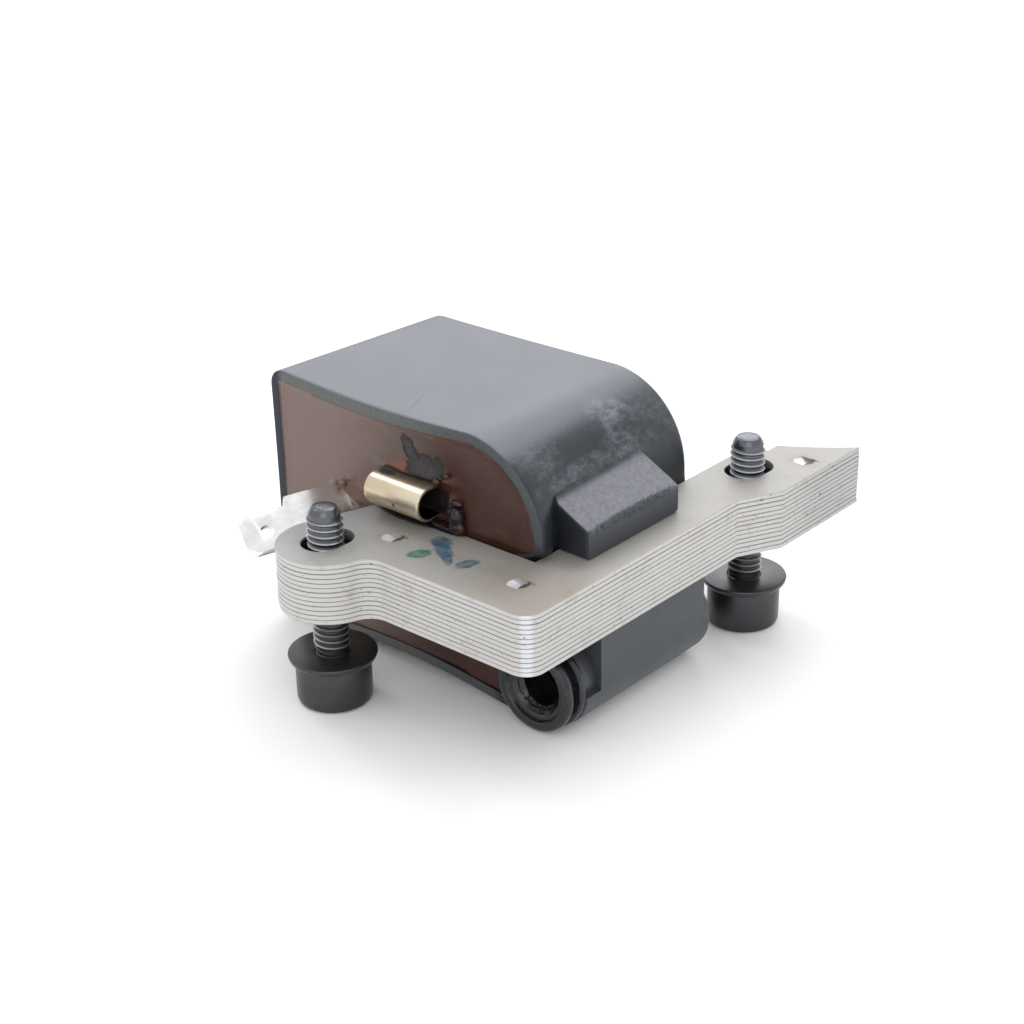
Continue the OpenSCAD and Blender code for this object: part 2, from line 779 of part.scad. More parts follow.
// Loop of the clip as an outline in y and z, open towards the potting
module clip_loop(g) {
    r = clip_h / 2;
    leg = clip_out + clip_deep - r;
    difference() {
        union() {
            circle(r + g);
            translate([0, -r - g]) square([leg + g, clip_h + 2 * g]);
        }
        circle(r - clip_t - g);
        translate([0, clip_t - r + g]) square([leg + cut, clip_h - 2 * clip_t - 2 * g]);
    }
}

module clip_shape(g) {
    translate([-clip_left - clip_w - g, base_d - clip_out + clip_h / 2, clip_z + clip_h / 2])
        rotate([90, 0, 90]) linear_extrude(clip_w + 2 * g) clip_loop(g);
}

module ground_clip() color("khaki") placed() clip_shape(0);

// The strip of the terminal runs in one direction, bows up a little and turns flatter towards the tab.
// s is the distance from the potting along the strip.
function tab_share(s) = min(1, max(0, s / tab_base_len));
function tab_tilt(s) = tab_root_tilt + (tab_end_tilt - tab_root_tilt) * tab_share(s);
function tab_rise(s) = tab_bow * sin(180 * tab_share(s)) - tab_drop * max(0, s - tab_base_len) / tab_len;
function tab_across(s) = tab_side * cos(tab_tilt(s)) - [0, 0, sin(tab_tilt(s))];
function tab_up(s) = cross(tab_across(s), tab_along);
function tab_at(s, w) = tab_edge + tab_along * s + [0, 0, tab_rise(s)] + tab_across(s) * w;

// The strip's four corners at s, between the widths w0 and w1, grown by g
function tab_ring(s, w0, w1, g) = let (u = tab_up(s) * (tab_t / 2 + g)) [
    tab_at(s, w0 - g) - u, tab_at(s, w1 + g) - u, tab_at(s, w1 + g) + u, tab_at(s, w0 - g) + u
];

// Joins rings of four points into a closed solid of triangles
module tab_sweep(rings) {
    last = (len(rings) - 1) * 4;
    sides = [
        for (i = [0 : 4 : last - 4]) for (j = [0 : 3]) let (k = (j + 1) % 4)
            each [[i + j, i + k, i + 4 + k], [i + j, i + 4 + k, i + 4 + j]]
    ];
    ends = [[2, 1, 0], [3, 2, 0], [last, last + 1, last + 2], [last, last + 2, last + 3]];
    polyhedron([for (r = rings) each r], concat(ends, sides));
}

module kill_terminal() {
    hole_s = tab_stop - tab_hole_in;
    color("gainsboro") placed() difference() {
        tab_sweep(concat(
            [for (s = tab_steps) tab_ring(s, 0, tab_full_w, 0)],
            [
                tab_ring(tab_base_len + tab_slope, tab_shoulder, tab_full_w, 0),
                tab_ring(tab_stop - tab_cut, tab_shoulder, tab_full_w, 0),
                tab_ring(tab_stop, tab_shoulder + tab_cut, tab_full_w - tab_cut, 0)
            ]
        ));
        translate(tab_at(hole_s, tab_shoulder + tab_w / 2)) rotate([0, 0, tab_dir + 90])
            rotate([0, tab_end_tilt, 0]) cylinder(h = tab_t * 4, r = tab_hole_r, center = true);
    }
}

// The pocket in the potting is a little larger than the terminal's sunk end
module tab_pocket() {
    tab_sweep([for (s = [tab_steps[0] - tab_clear, 0, 2]) tab_ring(s, 0, tab_full_w, tab_clear)]);
}

module screw(at) {
    color("darkslategray") placed() translate([at.x, at.y, 0]) difference() {
        union() {
            translate([0, 0, house_low]) cylinder(h = head_h, r = head_r);
            translate([0, 0, washer_z - eps]) cylinder(h = -washer_z + eps + thread_gap, r = shank_r);
            translate([0, 0, thread_gap]) cylinder(h = thread_up - thread_chamfer - thread_gap, r = thread_r);
            translate([0, 0, thread_up - thread_chamfer])
                cylinder(h = thread_chamfer, r1 = thread_r, r2 = thread_end_r);
        }
        translate([0, 0, house_low - cut]) cylinder(h = key_d + cut, r = key_w / sqrt(3), $fn = 6);
    }
}

module washer(at) {
    color("darkslategray") placed() translate([at.x, at.y, washer_z]) difference() {
        cylinder(h = washer_t, r = washer_r);
        translate([0, 0, -cut]) cylinder(h = washer_t + 2 * cut, r = shank_r + washer_clear);
    }
}

for (i = [0 : lam_count - 1])
    lamination(i);
coil_housing();
potting_compound();
primary_bobbin();
primary_winding();
secondary_bobbin();
secondary_winding();
circuit_board();
film_capacitor();
power_transistor();
resistors();
clamp_diode();
primary_leads();
ground_wire();
kill_wire();
ht_wire();
ht_contact_spike();
lead_seal();
ground_clip();
kill_terminal();
screw(screws[0]);  // screw_left
screw(screws[1]);  // screw_right
washer(screws[0]);  // washer_left
washer(screws[1]);  // washer_right
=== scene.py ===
from functools import partial
from math import cos, exp, hypot, pi, radians, sin, sqrt, tan

import bmesh
import bpy
from mathutils import Matrix, Vector, noise


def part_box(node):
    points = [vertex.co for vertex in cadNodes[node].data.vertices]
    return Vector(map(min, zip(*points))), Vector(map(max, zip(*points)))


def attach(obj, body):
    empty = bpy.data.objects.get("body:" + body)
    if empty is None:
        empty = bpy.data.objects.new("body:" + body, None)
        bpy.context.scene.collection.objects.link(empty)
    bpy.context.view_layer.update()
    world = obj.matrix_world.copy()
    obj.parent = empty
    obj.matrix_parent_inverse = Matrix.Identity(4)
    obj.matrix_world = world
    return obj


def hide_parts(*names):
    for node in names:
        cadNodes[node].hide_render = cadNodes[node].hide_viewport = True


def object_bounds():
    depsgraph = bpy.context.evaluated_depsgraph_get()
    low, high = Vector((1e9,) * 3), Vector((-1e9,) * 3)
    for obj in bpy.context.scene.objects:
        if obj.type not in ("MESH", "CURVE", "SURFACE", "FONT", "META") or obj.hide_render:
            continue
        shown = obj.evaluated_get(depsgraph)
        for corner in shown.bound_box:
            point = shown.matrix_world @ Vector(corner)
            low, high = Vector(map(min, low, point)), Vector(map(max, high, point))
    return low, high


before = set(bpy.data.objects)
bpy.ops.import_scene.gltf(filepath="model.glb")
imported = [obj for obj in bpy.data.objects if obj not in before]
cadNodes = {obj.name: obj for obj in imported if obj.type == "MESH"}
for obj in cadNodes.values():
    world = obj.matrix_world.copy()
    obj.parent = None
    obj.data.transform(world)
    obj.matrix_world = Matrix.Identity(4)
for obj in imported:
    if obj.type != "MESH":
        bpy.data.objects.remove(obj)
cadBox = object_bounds()
scene = bpy.context.scene
mm = 0.001
print("frame loaded,", len(cadNodes), "CAD nodes")

# Sizes below are millimetres from the core's sharp front corner: x along the base bar to the right,
# y along the legs, z up from the core's top. corner is where that point lies in the shared frame.
corner = Vector((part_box("coil_housing")[0].x + 56.6 * mm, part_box("potting_compound")[0].y - 12.2 * mm, 0))


def place(x, y, z):
    return corner + Vector((x, y, z)) * mm


def blendOf(a, b, share):
    return a + (b - a) * share


def clamp(value):
    return max(0.0, min(1.0, value))


# Mesh helpers

def addPiece(name, mesh):
    piece = bpy.data.objects.new(name, mesh)
    scene.collection.objects.link(piece)
    return piece


def tidyMesh(piece, gap=0.001):
    work = bmesh.new()
    work.from_mesh(piece.data)
    bmesh.ops.remove_doubles(work, verts=work.verts, dist=gap * mm)
    bmesh.ops.recalc_face_normals(work, faces=work.faces)
    work.to_mesh(piece.data)
    work.free()


def makePiece(name, points, faces):
    mesh = bpy.data.meshes.new(name)
    mesh.from_pydata([place(*point) for point in points], [], faces)
    piece = addPiece(name, mesh)
    tidyMesh(piece)
    return piece


def loft(name, rings):  # closed solid through rings that have the same number of points
    count = len(rings[0])
    faces = [tuple(reversed(range(count)))]
    for r in range(len(rings) - 1):
        for i in range(count):
            a, b = r * count + i, r * count + (i + 1) % count
            faces.append((a, b, b + count, a + count))
    last = (len(rings) - 1) * count
    faces.append(tuple(range(last, last + count)))
    return makePiece(name, [point for ring in rings for point in ring], faces)


def lathe(name, profile, centre, axis="z", steps=96, wobble=None):
    x0, y0, z0 = centre
    points, faces, count = [], [], len(profile)
    onAxis = profile[0][0] == 0
    for step in range(steps):
        turn = 2 * pi * step / steps
        for r, h in profile:
            r += wobble(r, h, turn) if wobble else 0
            a, b = r * cos(turn), r * sin(turn)
            points.append((x0 + a, y0 + b, z0 + h) if axis == "z" else (x0 + a, y0 + h, z0 + b))
        for i in range(count - 1 if onAxis else count):
            j, k = (i + 1) % count, (step + 1) % steps
            faces.append((step * count + i, step * count + j, k * count + j, k * count + i))
    return makePiece(name, points, faces)


def boxPiece(name, low, high):
    ring = [(low[0], low[2]), (high[0], low[2]), (high[0], high[2]), (low[0], high[2])]
    return loft(name, [[(x, y, z) for x, z in ring] for y in (low[1], high[1])])


def rodPiece(name, radius, x, z, y0, y1, steps=96):
    return lathe(name, [(0, y0), (radius, y0), (radius, y1), (0, y1)], (x, 0, z), "y", steps)


def settle(piece):  # bakes the modifiers into a plain mesh
    graph = bpy.context.evaluated_depsgraph_get()
    mesh = bpy.data.meshes.new_from_object(piece.evaluated_get(graph))
    piece.modifiers.clear()
    piece.data = mesh


def carve(piece, operation, others):
    for other in others:
        step = piece.modifiers.new(operation, "BOOLEAN")
        step.operation = operation
        step.solver = "EXACT"
        step.object = other
    settle(piece)
    for other in others:
        bpy.data.objects.remove(other)


def roundEdges(piece, width, angle):
    step = piece.modifiers.new("edges", "BEVEL")
    step.width = width * mm
    step.segments = 2
    step.limit_method = "ANGLE"
    step.angle_limit = radians(angle)
    settle(piece)


def roundedLoop(corners, radii, steps):  # outline with a fillet at each corner
    loop = []
    for i, (here, radius) in enumerate(zip(corners, radii)):
        here = Vector(here)
        before = (Vector(corners[i - 1]) - here).normalized()
        after = (Vector(corners[(i + 1) % len(corners)]) - here).normalized()
        if radius == 0:
            loop.append(tuple(here))
            continue
        half = before.angle(after) / 2
        middle = here + (before + after).normalized() * radius / sin(half)
        first = here + before * radius / tan(half) - middle
        last = here + after * radius / tan(half) - middle
        for k in range(steps + 1):
            arm = first.slerp(last, k / steps).normalized() * radius
            loop.append(tuple(middle + arm))
    return loop


def finishPiece(piece, body, material, replaced, angle):
    mesh = piece.data
    mesh.materials.clear()
    mesh.materials.append(material)
    mesh.polygons.foreach_set("material_index", [0] * len(mesh.polygons))
    mesh.shade_smooth()
    mesh.set_sharp_from_angle(angle=radians(angle))
    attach(piece, body)
    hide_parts(*replaced)
    print("piece", piece.name, len(mesh.polygons), "faces")


# Node helpers: values are sockets or plain numbers, and a socket knows its own tree

def addNode(tree, kind, inputs=None, take=0, **settings):
    # gives one output of the new node: the first, or the one that take names
    made = tree.nodes.new(kind)
    for key, value in settings.items():
        setattr(made, key, value)
    for key, value in (inputs or {}).items():
        if isinstance(value, bpy.types.NodeSocket):
            tree.links.new(value, made.inputs[key])
        else:
            made.inputs[key].default_value = value
    return made.outputs[take] if made.outputs else None


def calc(operation, *values):
    tree = next(value.id_data for value in values if isinstance(value, bpy.types.NodeSocket))
    return addNode(tree, "ShaderNodeMath", dict(enumerate(values)), operation=operation)


plus, minus, over = (partial(calc, name) for name in ("ADD", "SUBTRACT", "DIVIDE"))
most, least, timesPlus = (partial(calc, name) for name in ("MAXIMUM", "MINIMUM", "MULTIPLY_ADD"))


def times(product, *others):
    for other in others:
        product = calc("MULTIPLY", product, other)
    return product


def span(share, low, high):
    return timesPlus(share, high - low, low)


def between(value, low, high):
    # 0 below low, 1 above high, smooth in the middle
    return addNode(value.id_data, "ShaderNodeMapRange", {
        "Value": value, "From Min": low, "From Max": high}, interpolation_type="SMOOTHSTEP")


def overlap(a, b):
    return b if a is None else most(a, b)


def onVector(operation, a, b=(0, 0, 0), take="Vector"):
    return addNode(a.id_data, "ShaderNodeVectorMath", {0: a, 1: b}, take, operation=operation)


def lengthOf(vector):
    return onVector("LENGTH", vector, take="Value")


def axisOf(vector, name):
    return addNode(vector.id_data, "ShaderNodeSeparateXYZ", {0: vector}, name)


def mapped(coords, centre=None, turn=(0, 0, 0), size=(1, 1, 1)):
    # moves centre to zero, turns the pattern there and counts in units of size, all in mm
    tree = coords.id_data
    moved = onVector("SUBTRACT", coords, place(*centre) if centre else (0, 0, 0))
    turned = addNode(tree, "ShaderNodeMapping", {0: moved, "Rotation": [radians(a) for a in turn]})
    return addNode(tree, "ShaderNodeMapping", {0: turned, "Scale": [1 / (a * mm) for a in size]})


def speckle(coords, size, detail=3, roughness=0.5, distortion=0.0):
    # noise whose features are about size mm across; size may be three sizes
    sizes = size if isinstance(size, tuple) else (size,) * 3
    return addNode(coords.id_data, "ShaderNodeTexNoise", {
        "Vector": mapped(coords, size=sizes), "Scale": 1, "Detail": detail,
        "Roughness": roughness, "Distortion": distortion}, "Fac")


def spotMask(coords, centre, size, turn=(0, 0, 0), ragged=0.35, grain=0.8, edge=0.12):
    # 1 inside an ellipsoid with a ragged rim
    away = lengthOf(mapped(coords, centre, turn, size))
    rough = timesPlus(speckle(coords, grain, 4, 0.6), ragged * 2, -ragged)
    return between(plus(away, rough), 1 + edge, 1 - edge)


def ramp(value, low, high):
    # 0 below low, 1 above high, straight in the middle
    share = addNode(value.id_data, "ShaderNodeValToRGB", {"Fac": value})
    for stop, at in zip(share.node.color_ramp.elements, (low, high)):
        stop.position = at
    return share


def paint(base, *layers):
    # each layer is a shade, and the masks that let it cover what is under it
    for shade, *masks in layers:
        share = times(*masks)
        under, top = ((*value, 1) if isinstance(value, tuple) else value for value in (base, shade))
        base = addNode(share.id_data, "ShaderNodeMix", {0: share, 6: under, 7: top}, 2, data_type="RGBA")
    return base


def startMaterial(name, fixed):
    material = bpy.data.materials.new(name)
    material.use_nodes = True
    for socket, value in fixed.items():
        material.node_tree.nodes["Principled BSDF"].inputs[socket].default_value = value
    return material, addNode(material.node_tree, "ShaderNodeTexCoord", take="Object")


def finishLook(material, base, rough=None, height=None, depth=0.01, strength=1.0):
    tree = material.node_tree
    ends = {"Base Color": base, "Roughness": rough}
    if height:
        ends["Normal"] = addNode(tree, "ShaderNodeBump", {
            "Height": height, "Strength": strength, "Distance": depth * mm})
    for name, value in ends.items():
        if value:
            tree.links.new(value, tree.nodes["Principled BSDF"].inputs[name])
    return material


# Core, housing and screws: their materials follow these sizes too. The core's angles, flat and sharp,
# are in degrees. lip and fade say where the housing's side wall steps out, and how fast.

core = dict(
    count=13, pitch=0.66, slip=0.045, seed=7, rim=0.09, flat=0.4, sharp=50, weld=0.002, level=0.9999,
    slots=((-34.5, 0.0), (-5.0, 52.4)), pits=((-28.3, 5.9), (-7.1, 6.4), (-0.4, 59.3)), pitReach=2.0)
housing = dict(
    front=12.2, back=45, wall=1.4, corner=2.3, low=-23.4, rightLow=-9.6, step=0.03, rimEdge=0.22,
    backEdge=1.2, stepRadius=1.55, hollow=1.35, lip=(14.2, 1.9), fade=(8.4, 4.2),
    window=((-31.0, 43, -8.78), (-21.9, 46, 0.2)),
    mouth=dict(left=-56.9, shoulderX=-20.7, shoulderZ=2.0, shoulderR=12.65, topLeft=14.7, dip=0.7,
               sag=1.7, thick=0.35, bow=0.15),
    rear=dict(left=-56.6, shoulderX=-22.2, shoulderZ=1.45, shoulderR=12.5, topLeft=13.6, dip=0.1,
              sag=0.1, thick=0.0, bow=0.05))
screwSpots = dict(left=(-34.5, -0.05), right=(-5.0, 52.35))


# Materials

def coreSteelLook():
    look = dict(
        light=(0.42, 0.42, 0.425), dull=(0.365, 0.355, 0.34), warm=(0.405, 0.38, 0.34),
        tan=(0.28, 0.22, 0.165), cut=(0.56, 0.545, 0.53), far=(0.26, 0.265, 0.27),
        cornerHighlight=(0.78, 0.82, 0.88), groove=(0.24, 0.22, 0.2), grooveHalf=0.08,
        speck=(0.1, 0.065, 0.045), shadeAndResidue=(0.012, 0.01, 0.01), roughness=(0.5, 0.62),
        # centre, size, turn, shade, amount and how much thinner the middle is
        dabs=(
            ((-22.3, 4.7, 0), (1.15, 1.6, 2), 30, (0.03, 0.19, 0.13), 1.0, 0.0),
            ((-22.3, 8.9, 0), (1.35, 1.7, 2), 110, (0.055, 0.13, 0.2), 0.9, 0.0),
            ((-20.6, 7.4, 0), (1.1, 2.6, 2), 125, (0.055, 0.13, 0.2), 0.95, 0.0),
            ((-18.6, 5.9, 0), (0.65, 2.0, 2), 128, (0.055, 0.13, 0.2), 0.95, 0.0),
            ((-15.6, 6.3, 0), (1.0, 1.7, 2), 20, (0.035, 0.12, 0.17), 1.0, 0.3)),
        shadowsAndDrips=(
            ((-31.0, 11.75, 0), (5.6, 1.15, 2)), ((-24.6, 12.0, 0), (3.4, 0.85, 2)),
            ((-16.5, 12.4, 0), (7.0, 0.35, 2))),
        # from the pit's middle: shift, size, shade, amount
        pit=(
            ((0.2, 0.1), (2.6, 2.3, 2), (0.3, 0.25, 0.2), 0.3),
            # painted highlight on the pit's left facet
            ((-0.35, -0.25), (0.95, 0.9, 2), (0.8, 0.8, 0.82), 0.85),
            # painted shade on the pit's right facet
            ((0.85, 0.3), (0.62, 1.0, 2), (0.06, 0.04, 0.03), 0.92),
            ((-1.4, -0.5), (0.75, 0.5, 2), (0.3, 0.23, 0.17), 0.25),
            ((1.3, 1.0), (0.7, 0.3, 2), (0.16, 0.1, 0.07), 0.6)))
    material, coords = startMaterial("coreSteel", {"Metallic": 0.45})
    up = axisOf(coords, "Z")
    clouds = speckle(coords, 9, 4, 0.55)
    grain = speckle(coords, 0.35, 3, 0.6)
    warm = timesPlus(clouds, 14.0, axisOf(mapped(coords, (0, 0, 0)), "X"))
    stained = spotMask(coords, (-4.0, 6.0, 0), (9.0, 6.5, 3), ragged=0.5, grain=4.0, edge=0.5)
    freckles = between(speckle(coords, 0.55, 4, 0.7), 0.62, 0.7)
    onRim = between(up, -0.04 * mm, -0.12 * mm)
    # rims darker towards the toe, and a painted highlight on the rim at the front corner
    toe = between(axisOf(mapped(coords, (0, 0, 0)), "Y"), 46.0, 60.0)
    highlightMask = spotMask(coords, (-0.7, 0.5, -4), (0.8, 0.8, 30), ragged=0.12, grain=2.0, edge=0.45)
    # dark lines where two laminations meet, on the rims only
    sheets = over(up, core["pitch"] * mm)
    off = calc("ABSOLUTE", minus(sheets, calc("ROUND", sheets)))
    thin = timesPlus(speckle(coords, (6, 6, 0.7), 3), 0.12, -0.06)
    half = look["grooveHalf"] / core["pitch"]
    line = times(between(plus(off, thin), half + 0.05, half - 0.05), between(up, -0.16 * mm, -0.26 * mm))
    # rust specks, thicker along the rims
    spots = times(between(speckle(coords, (0.9, 0.9, 0.4), 5, 0.7), 0.6, 0.68),
                  between(speckle(coords, 7, 3), 0.4, 0.55), timesPlus(onRim, 0.75, 0.12))
    base = paint(
        look["light"],
        (look["dull"], ramp(clouds, 0.35, 0.7)),
        (look["warm"], between(warm, -27.0, -17.0), 0.75),
        (look["cut"], between(speckle(coords, 0.16, 2, 0.5), 0.58, 0.72), 0.4),
        (look["tan"], stained, 0.45),
        (look["dull"], between(speckle(coords, (5.0, 1.1, 2), 6, 0.7, 0.6), 0.52, 0.72), 0.4),
        (look["speck"], freckles, timesPlus(stained, 0.4, 0.15)),
        # rims of bare cut steel, paler, with a painted reflection of the pale floor
        (look["cut"], onRim),
        (look["tan"], between(speckle(coords, 5, 5, 0.65), 0.56, 0.72), 0.35),
        (look["dull"], grain, 0.22),
        (look["far"], toe, onRim, 0.4),
        # painted highlight on the front corner's rim
        (look["cornerHighlight"], highlightMask, onRim, 0.5),
        (look["groove"], line, 0.62),
        (look["speck"], spots))
    # inspection paint on the top
    onTop = between(up, -0.12 * mm, -0.04 * mm)
    brushed = timesPlus(between(speckle(coords, 1.1, 3, 0.6), 0.35, 0.65), 0.4, 0.6)
    for centre, size, turn, shade, amount, rim in look["dabs"]:
        spot = spotMask(coords, centre, size, (0, 0, turn), 0.45, 0.8, 0.22)
        if rim:
            inner = spotMask(coords, centre, (size[0] * 0.55, size[1] * 0.72, 2), (0, 0, turn), 0.42, 1.0)
            spot = minus(spot, times(inner, rim))
        base = paint(base, (shade, spot, onTop, brushed, amount))
    # painted shadow on the core under the clip and along the potting's foot, and black residue at the drips
    for centre, size in look["shadowsAndDrips"]:
        spot = spotMask(coords, centre, size, ragged=0.15, grain=1.6, edge=0.25)
        base = paint(base, (look["shadeAndResidue"], spot, onTop, 0.93))
    # stamped pits: a painted highlight on the left facet, painted shade on the right facet, and rusty tails
    for x, y in core["pits"]:
        for shift, size, shade, amount in look["pit"]:
            spot = spotMask(coords, (x + shift[0], y + shift[1], 0), size, ragged=0.25, grain=0.7,
                            edge=0.5 if size[0] > 2 else 0.2)
            base = paint(base, (shade, spot, amount))
    # painted shade on the slots' walls
    for x, y in core["slots"]:
        spot = spotMask(coords, (x, y, -4.5), (3.4, 4.4, 9), ragged=0.06, grain=2.0, edge=0.05)
        base = paint(base, (look["shadeAndResidue"], spot, between(up, -0.03 * mm, -0.5 * mm), 0.92))
    rough = minus(span(grain, *look["roughness"]), times(onRim, 0.2))
    rough = plus(rough, times(plus(line, spots), 0.35))
    return finishLook(material, base, rough, plus(grain, times(clouds, 2)), 0.022)


def blackPlasticLook():
    look = dict(
        base=(0.008, 0.009, 0.012), worn=(0.017, 0.019, 0.024), rim=(0.105, 0.11, 0.1),
        shadedRim=(0.06, 0.065, 0.066), edge=(0.012, 0.015, 0.024), mattAndSheen=(0.2, 0.197, 0.215),
        film=(0.122, 0.12, 0.14), flank=(0.062, 0.065, 0.07), dust=(0.4, 0.4, 0.41),
        scratch=(0.008, 0.008, 0.01), scuff=(0.24, 0.25, 0.28), roughness=(0.33, 0.44),
        scuffs=(
            ((-14.8, 33.8, 12.4), (2.6, 3.6, 2.2), 0.95), ((-11.4, 33.0, 9.0), (1.8, 3.6, 2.8), 0.6),
            ((-10.7, 22.5, 8.4), (1.3, 7.5, 1.1), 0.6), ((-12.9, 17.0, 10.9), (2.4, 3.4, 2.4), 0.4),
            ((-13.0, 38.5, 10.5), (4.0, 7.0, 4.0), 0.35)))
    material, coords = startMaterial("blackPlastic", {"IOR": 1.5, "Specular Tint": (0.87, 0.94, 1.0, 1)})
    near = mapped(coords, (0, housing["front"], 0))
    side, along, up = (axisOf(near, axis) for axis in "XYZ")
    clouds = speckle(coords, 10, 4)
    grain = speckle(coords, 0.22, 3, 0.6)
    smudge = speckle(coords, (6, 2.5, 6), 5, 0.6, 0.5)
    low = times(between(up, -6.0, -9.5), between(side, -12.0, -10.0))
    # the cut rim is rough and paler, partly a painted sheen; painted shade darkens it towards the right, down
    # its left side and at its lower right corner
    rim = between(along, 0.18, 0.06)
    dark = most(between(side, -54.2, -55.8), times(between(up, 3.5, 0.8), between(side, -18.0, -14.0)))
    cutRim = paint(
        look["rim"],
        (look["shadedRim"], between(side, -36.0, -20.0)),
        (look["edge"], dark),
        (look["edge"], between(speckle(coords, 0.5, 4, 0.7), 0.5, 0.7), 0.4))
    # matt top of the lug, paler with a painted sheen
    slope = timesPlus(side, 0.5, up)
    onLug = times(between(slope, 1.25, 1.75), between(side, -11.4, -9.6), between(up, 7.4, 6.4),
                  between(along, 4.46, 4.6), between(along, 23.15, 23.0))
    mattAndSheen = paint(look["mattAndSheen"], (look["worn"], between(speckle(coords, 0.7, 5, 0.75), 0.35, 0.7), 0.35))
    worn = spotMask(coords, (-4.35, 26.0, 3.75), (0.6, 9.6, 0.55), ragged=0.9, grain=0.7, edge=0.3)
    # pale scuffs on the shoulder and beside the lug
    powder = between(speckle(coords, (1.4, 2.2, 1.4), 8, 0.78, 0.4), 0.38, 0.68)
    hairs = between(speckle(coords, (0.22, 1.3, 0.22), 5, 0.7, 1.0), 0.6, 0.7)
    scuffs = None
    for centre, size, amount in look["scuffs"]:
        spot = spotMask(coords, centre, size, ragged=0.7, grain=2.2, edge=0.7)
        scuffs = overlap(scuffs, times(spot, amount))
    scuffs = times(scuffs, plus(timesPlus(powder, 0.75, 0.08), times(hairs, 0.7)))
    # one fine scratch on the top
    hair = spotMask(coords, (-33.7, 16.8, 14.0), (0.07, 3.4, 1.2), (0, 0, -22), 0.35, 0.7, 0.35)
    base = paint(
        look["base"],
        (look["worn"], ramp(clouds, 0.35, 0.7)),
        (look["worn"], between(smudge, 0.45, 0.7), 0.5),
        # dust, and a painted sheen, make the top paler
        (look["film"], between(up, 11.8, 13.4), 0.8),
        # painted light from the floor: the lower flank and the socket are paler, and so is the lug's right
        # face
        (paint(look["flank"], (look["worn"], smudge, 0.5)), low),
        (look["flank"], between(side, -5.0, -4.3), between(up, -1.0, 0.2), 0.45),
        (cutRim, rim),
        (mattAndSheen, onLug),
        (look["base"], worn, 0.75),
        (look["scuff"], scuffs),
        (look["dust"], between(speckle(coords, 0.45, 2, 0.4), 0.755, 0.775), 0.35),
        (look["scratch"], hair, 0.6))
    rough = plus(span(clouds, *look["roughness"]), times(most(rim, onLug), 0.22))
    rough = plus(rough, times(scuffs, 0.3))
    height = plus(times(grain, timesPlus(onLug, 2.5, 1.0)), times(hair, -1.5))
    return finishLook(material, base, rough, height, 0.014, 0.6)


def pottingLook():
    look = dict(
        red=(0.045, 0.014, 0.009), brown=(0.062, 0.03, 0.023), pale=(0.2, 0.135, 0.115),
        tan=(0.2, 0.115, 0.075), orange=(0.17, 0.06, 0.03), soot=(0.05, 0.044, 0.043),
        ink=(0.012, 0.011, 0.012), roughness=(0.24, 0.4), wetRoughness=0.05,
        thin=(
            ((-33, 12.4, 12.45), (9.5, 3, 0.35), 0.28), ((-23.5, 12.4, 12.1), (5, 3, 0.35), 0.16),
            ((-31.6, 12.4, 7.0), (2.0, 3, 0.6), 0.8), ((-40.5, 12.4, 0.4), (3.0, 3, 1.3), 0.4)),
        smear=(
            ((-28.2, 12.4, 7.7), (3.1, 3, 1.75), 0), ((-30.8, 12.4, 9.2), (1.15, 3, 2.6), 30),
            ((-25.9, 12.4, 8.3), (1.3, 3, 1.5), 0)),
        drips=(
            ((-22.7, 11.6, 2.2), (1.5, 2, 2.4), 0.25, 1.2, 0.3),
            ((-24.7, 11.9, 0.3), (3.0, 1.0, 0.7), 0.2, 1.2, 0.2),
            ((-27.0, 12.4, 3.7), (3.6, 3, 2.0), 0.15, 1.5, 0.3)),
        wet=(
            ((-25.2, 11.6, 5.8), (1.8, 1.6, 1.2)), ((-22.7, 11.4, 2.6), (1.6, 1.6, 2.4)),
            ((-40.6, 11.4, 2.0), (2.6, 1.4, 1.4))))
    material, coords = startMaterial("pottingResin", {"IOR": 1.42})
    side = axisOf(mapped(coords, (0, 0, 0)), "X")
    clouds = speckle(coords, 8, 4)
    swirl = speckle(coords, (2.5, 2.5, 1.2), 4, 0.6, 0.8)
    # a painted reflection makes it paler towards the left wall; clear and deep red towards the right
    leftReflection = plus(side, timesPlus(swirl, 8.0, -4.0))
    base = paint(
        look["red"],
        (look["brown"], ramp(clouds, 0.35, 0.65)),
        (look["pale"], between(leftReflection, -25.0, -46.0), 0.8),
        (look["tan"], between(swirl, 0.55, 0.75), 0.12))
    # thin resin by the rim and round the terminal lets more light through
    for centre, size, amount in look["thin"]:
        spot = spotMask(coords, centre, size, ragged=0.5, grain=2, edge=0.45)
        base = paint(base, (look["orange"], spot, amount))
    # black smear above the clip, with an inky outline, and black drips at the clip's end
    soot, heart, drip = None, None, None
    for centre, size, turn in look["smear"]:
        spot = spotMask(coords, centre, size, (0, turn, 0), 0.55, 1.0, 0.06)
        within = (size[0] - 0.45, 3, size[2] - 0.45)
        heart = overlap(heart, spotMask(coords, centre, within, (0, turn, 0), 0.8, 0.8, 0.35))
        soot = overlap(soot, spot)
    streaks = between(speckle(coords, (0.5, 2, 1.5), 4, 0.7, 1.0), 0.42, 0.6)
    pale = times(timesPlus(streaks, 0.6, 0.4), between(side, -24.2, -27.6))
    inner = paint(look["ink"], (look["soot"], heart, pale))
    for centre, size, *outline in look["drips"]:
        drip = overlap(drip, spotMask(coords, centre, size, (0, 0, 0), *outline))
    base = paint(base, (inner, soot, 0.95), (look["ink"], drip, 0.92))
    rough = plus(span(clouds, *look["roughness"]), times(soot, 0.25))
    rough = minus(rough, times(drip, 0.2))
    # the beads are wet and bright
    for centre, size in look["wet"]:
        wet = spotMask(coords, centre, size, ragged=0.1, edge=0.15)
        rough = timesPlus(minus(look["wetRoughness"], rough), wet, rough)
    flow = timesPlus(inner, 1.5, timesPlus(soot, 1.2, times(swirl, 0.4)))
    return finishLook(material, base, rough, flow, 0.08, 0.4)


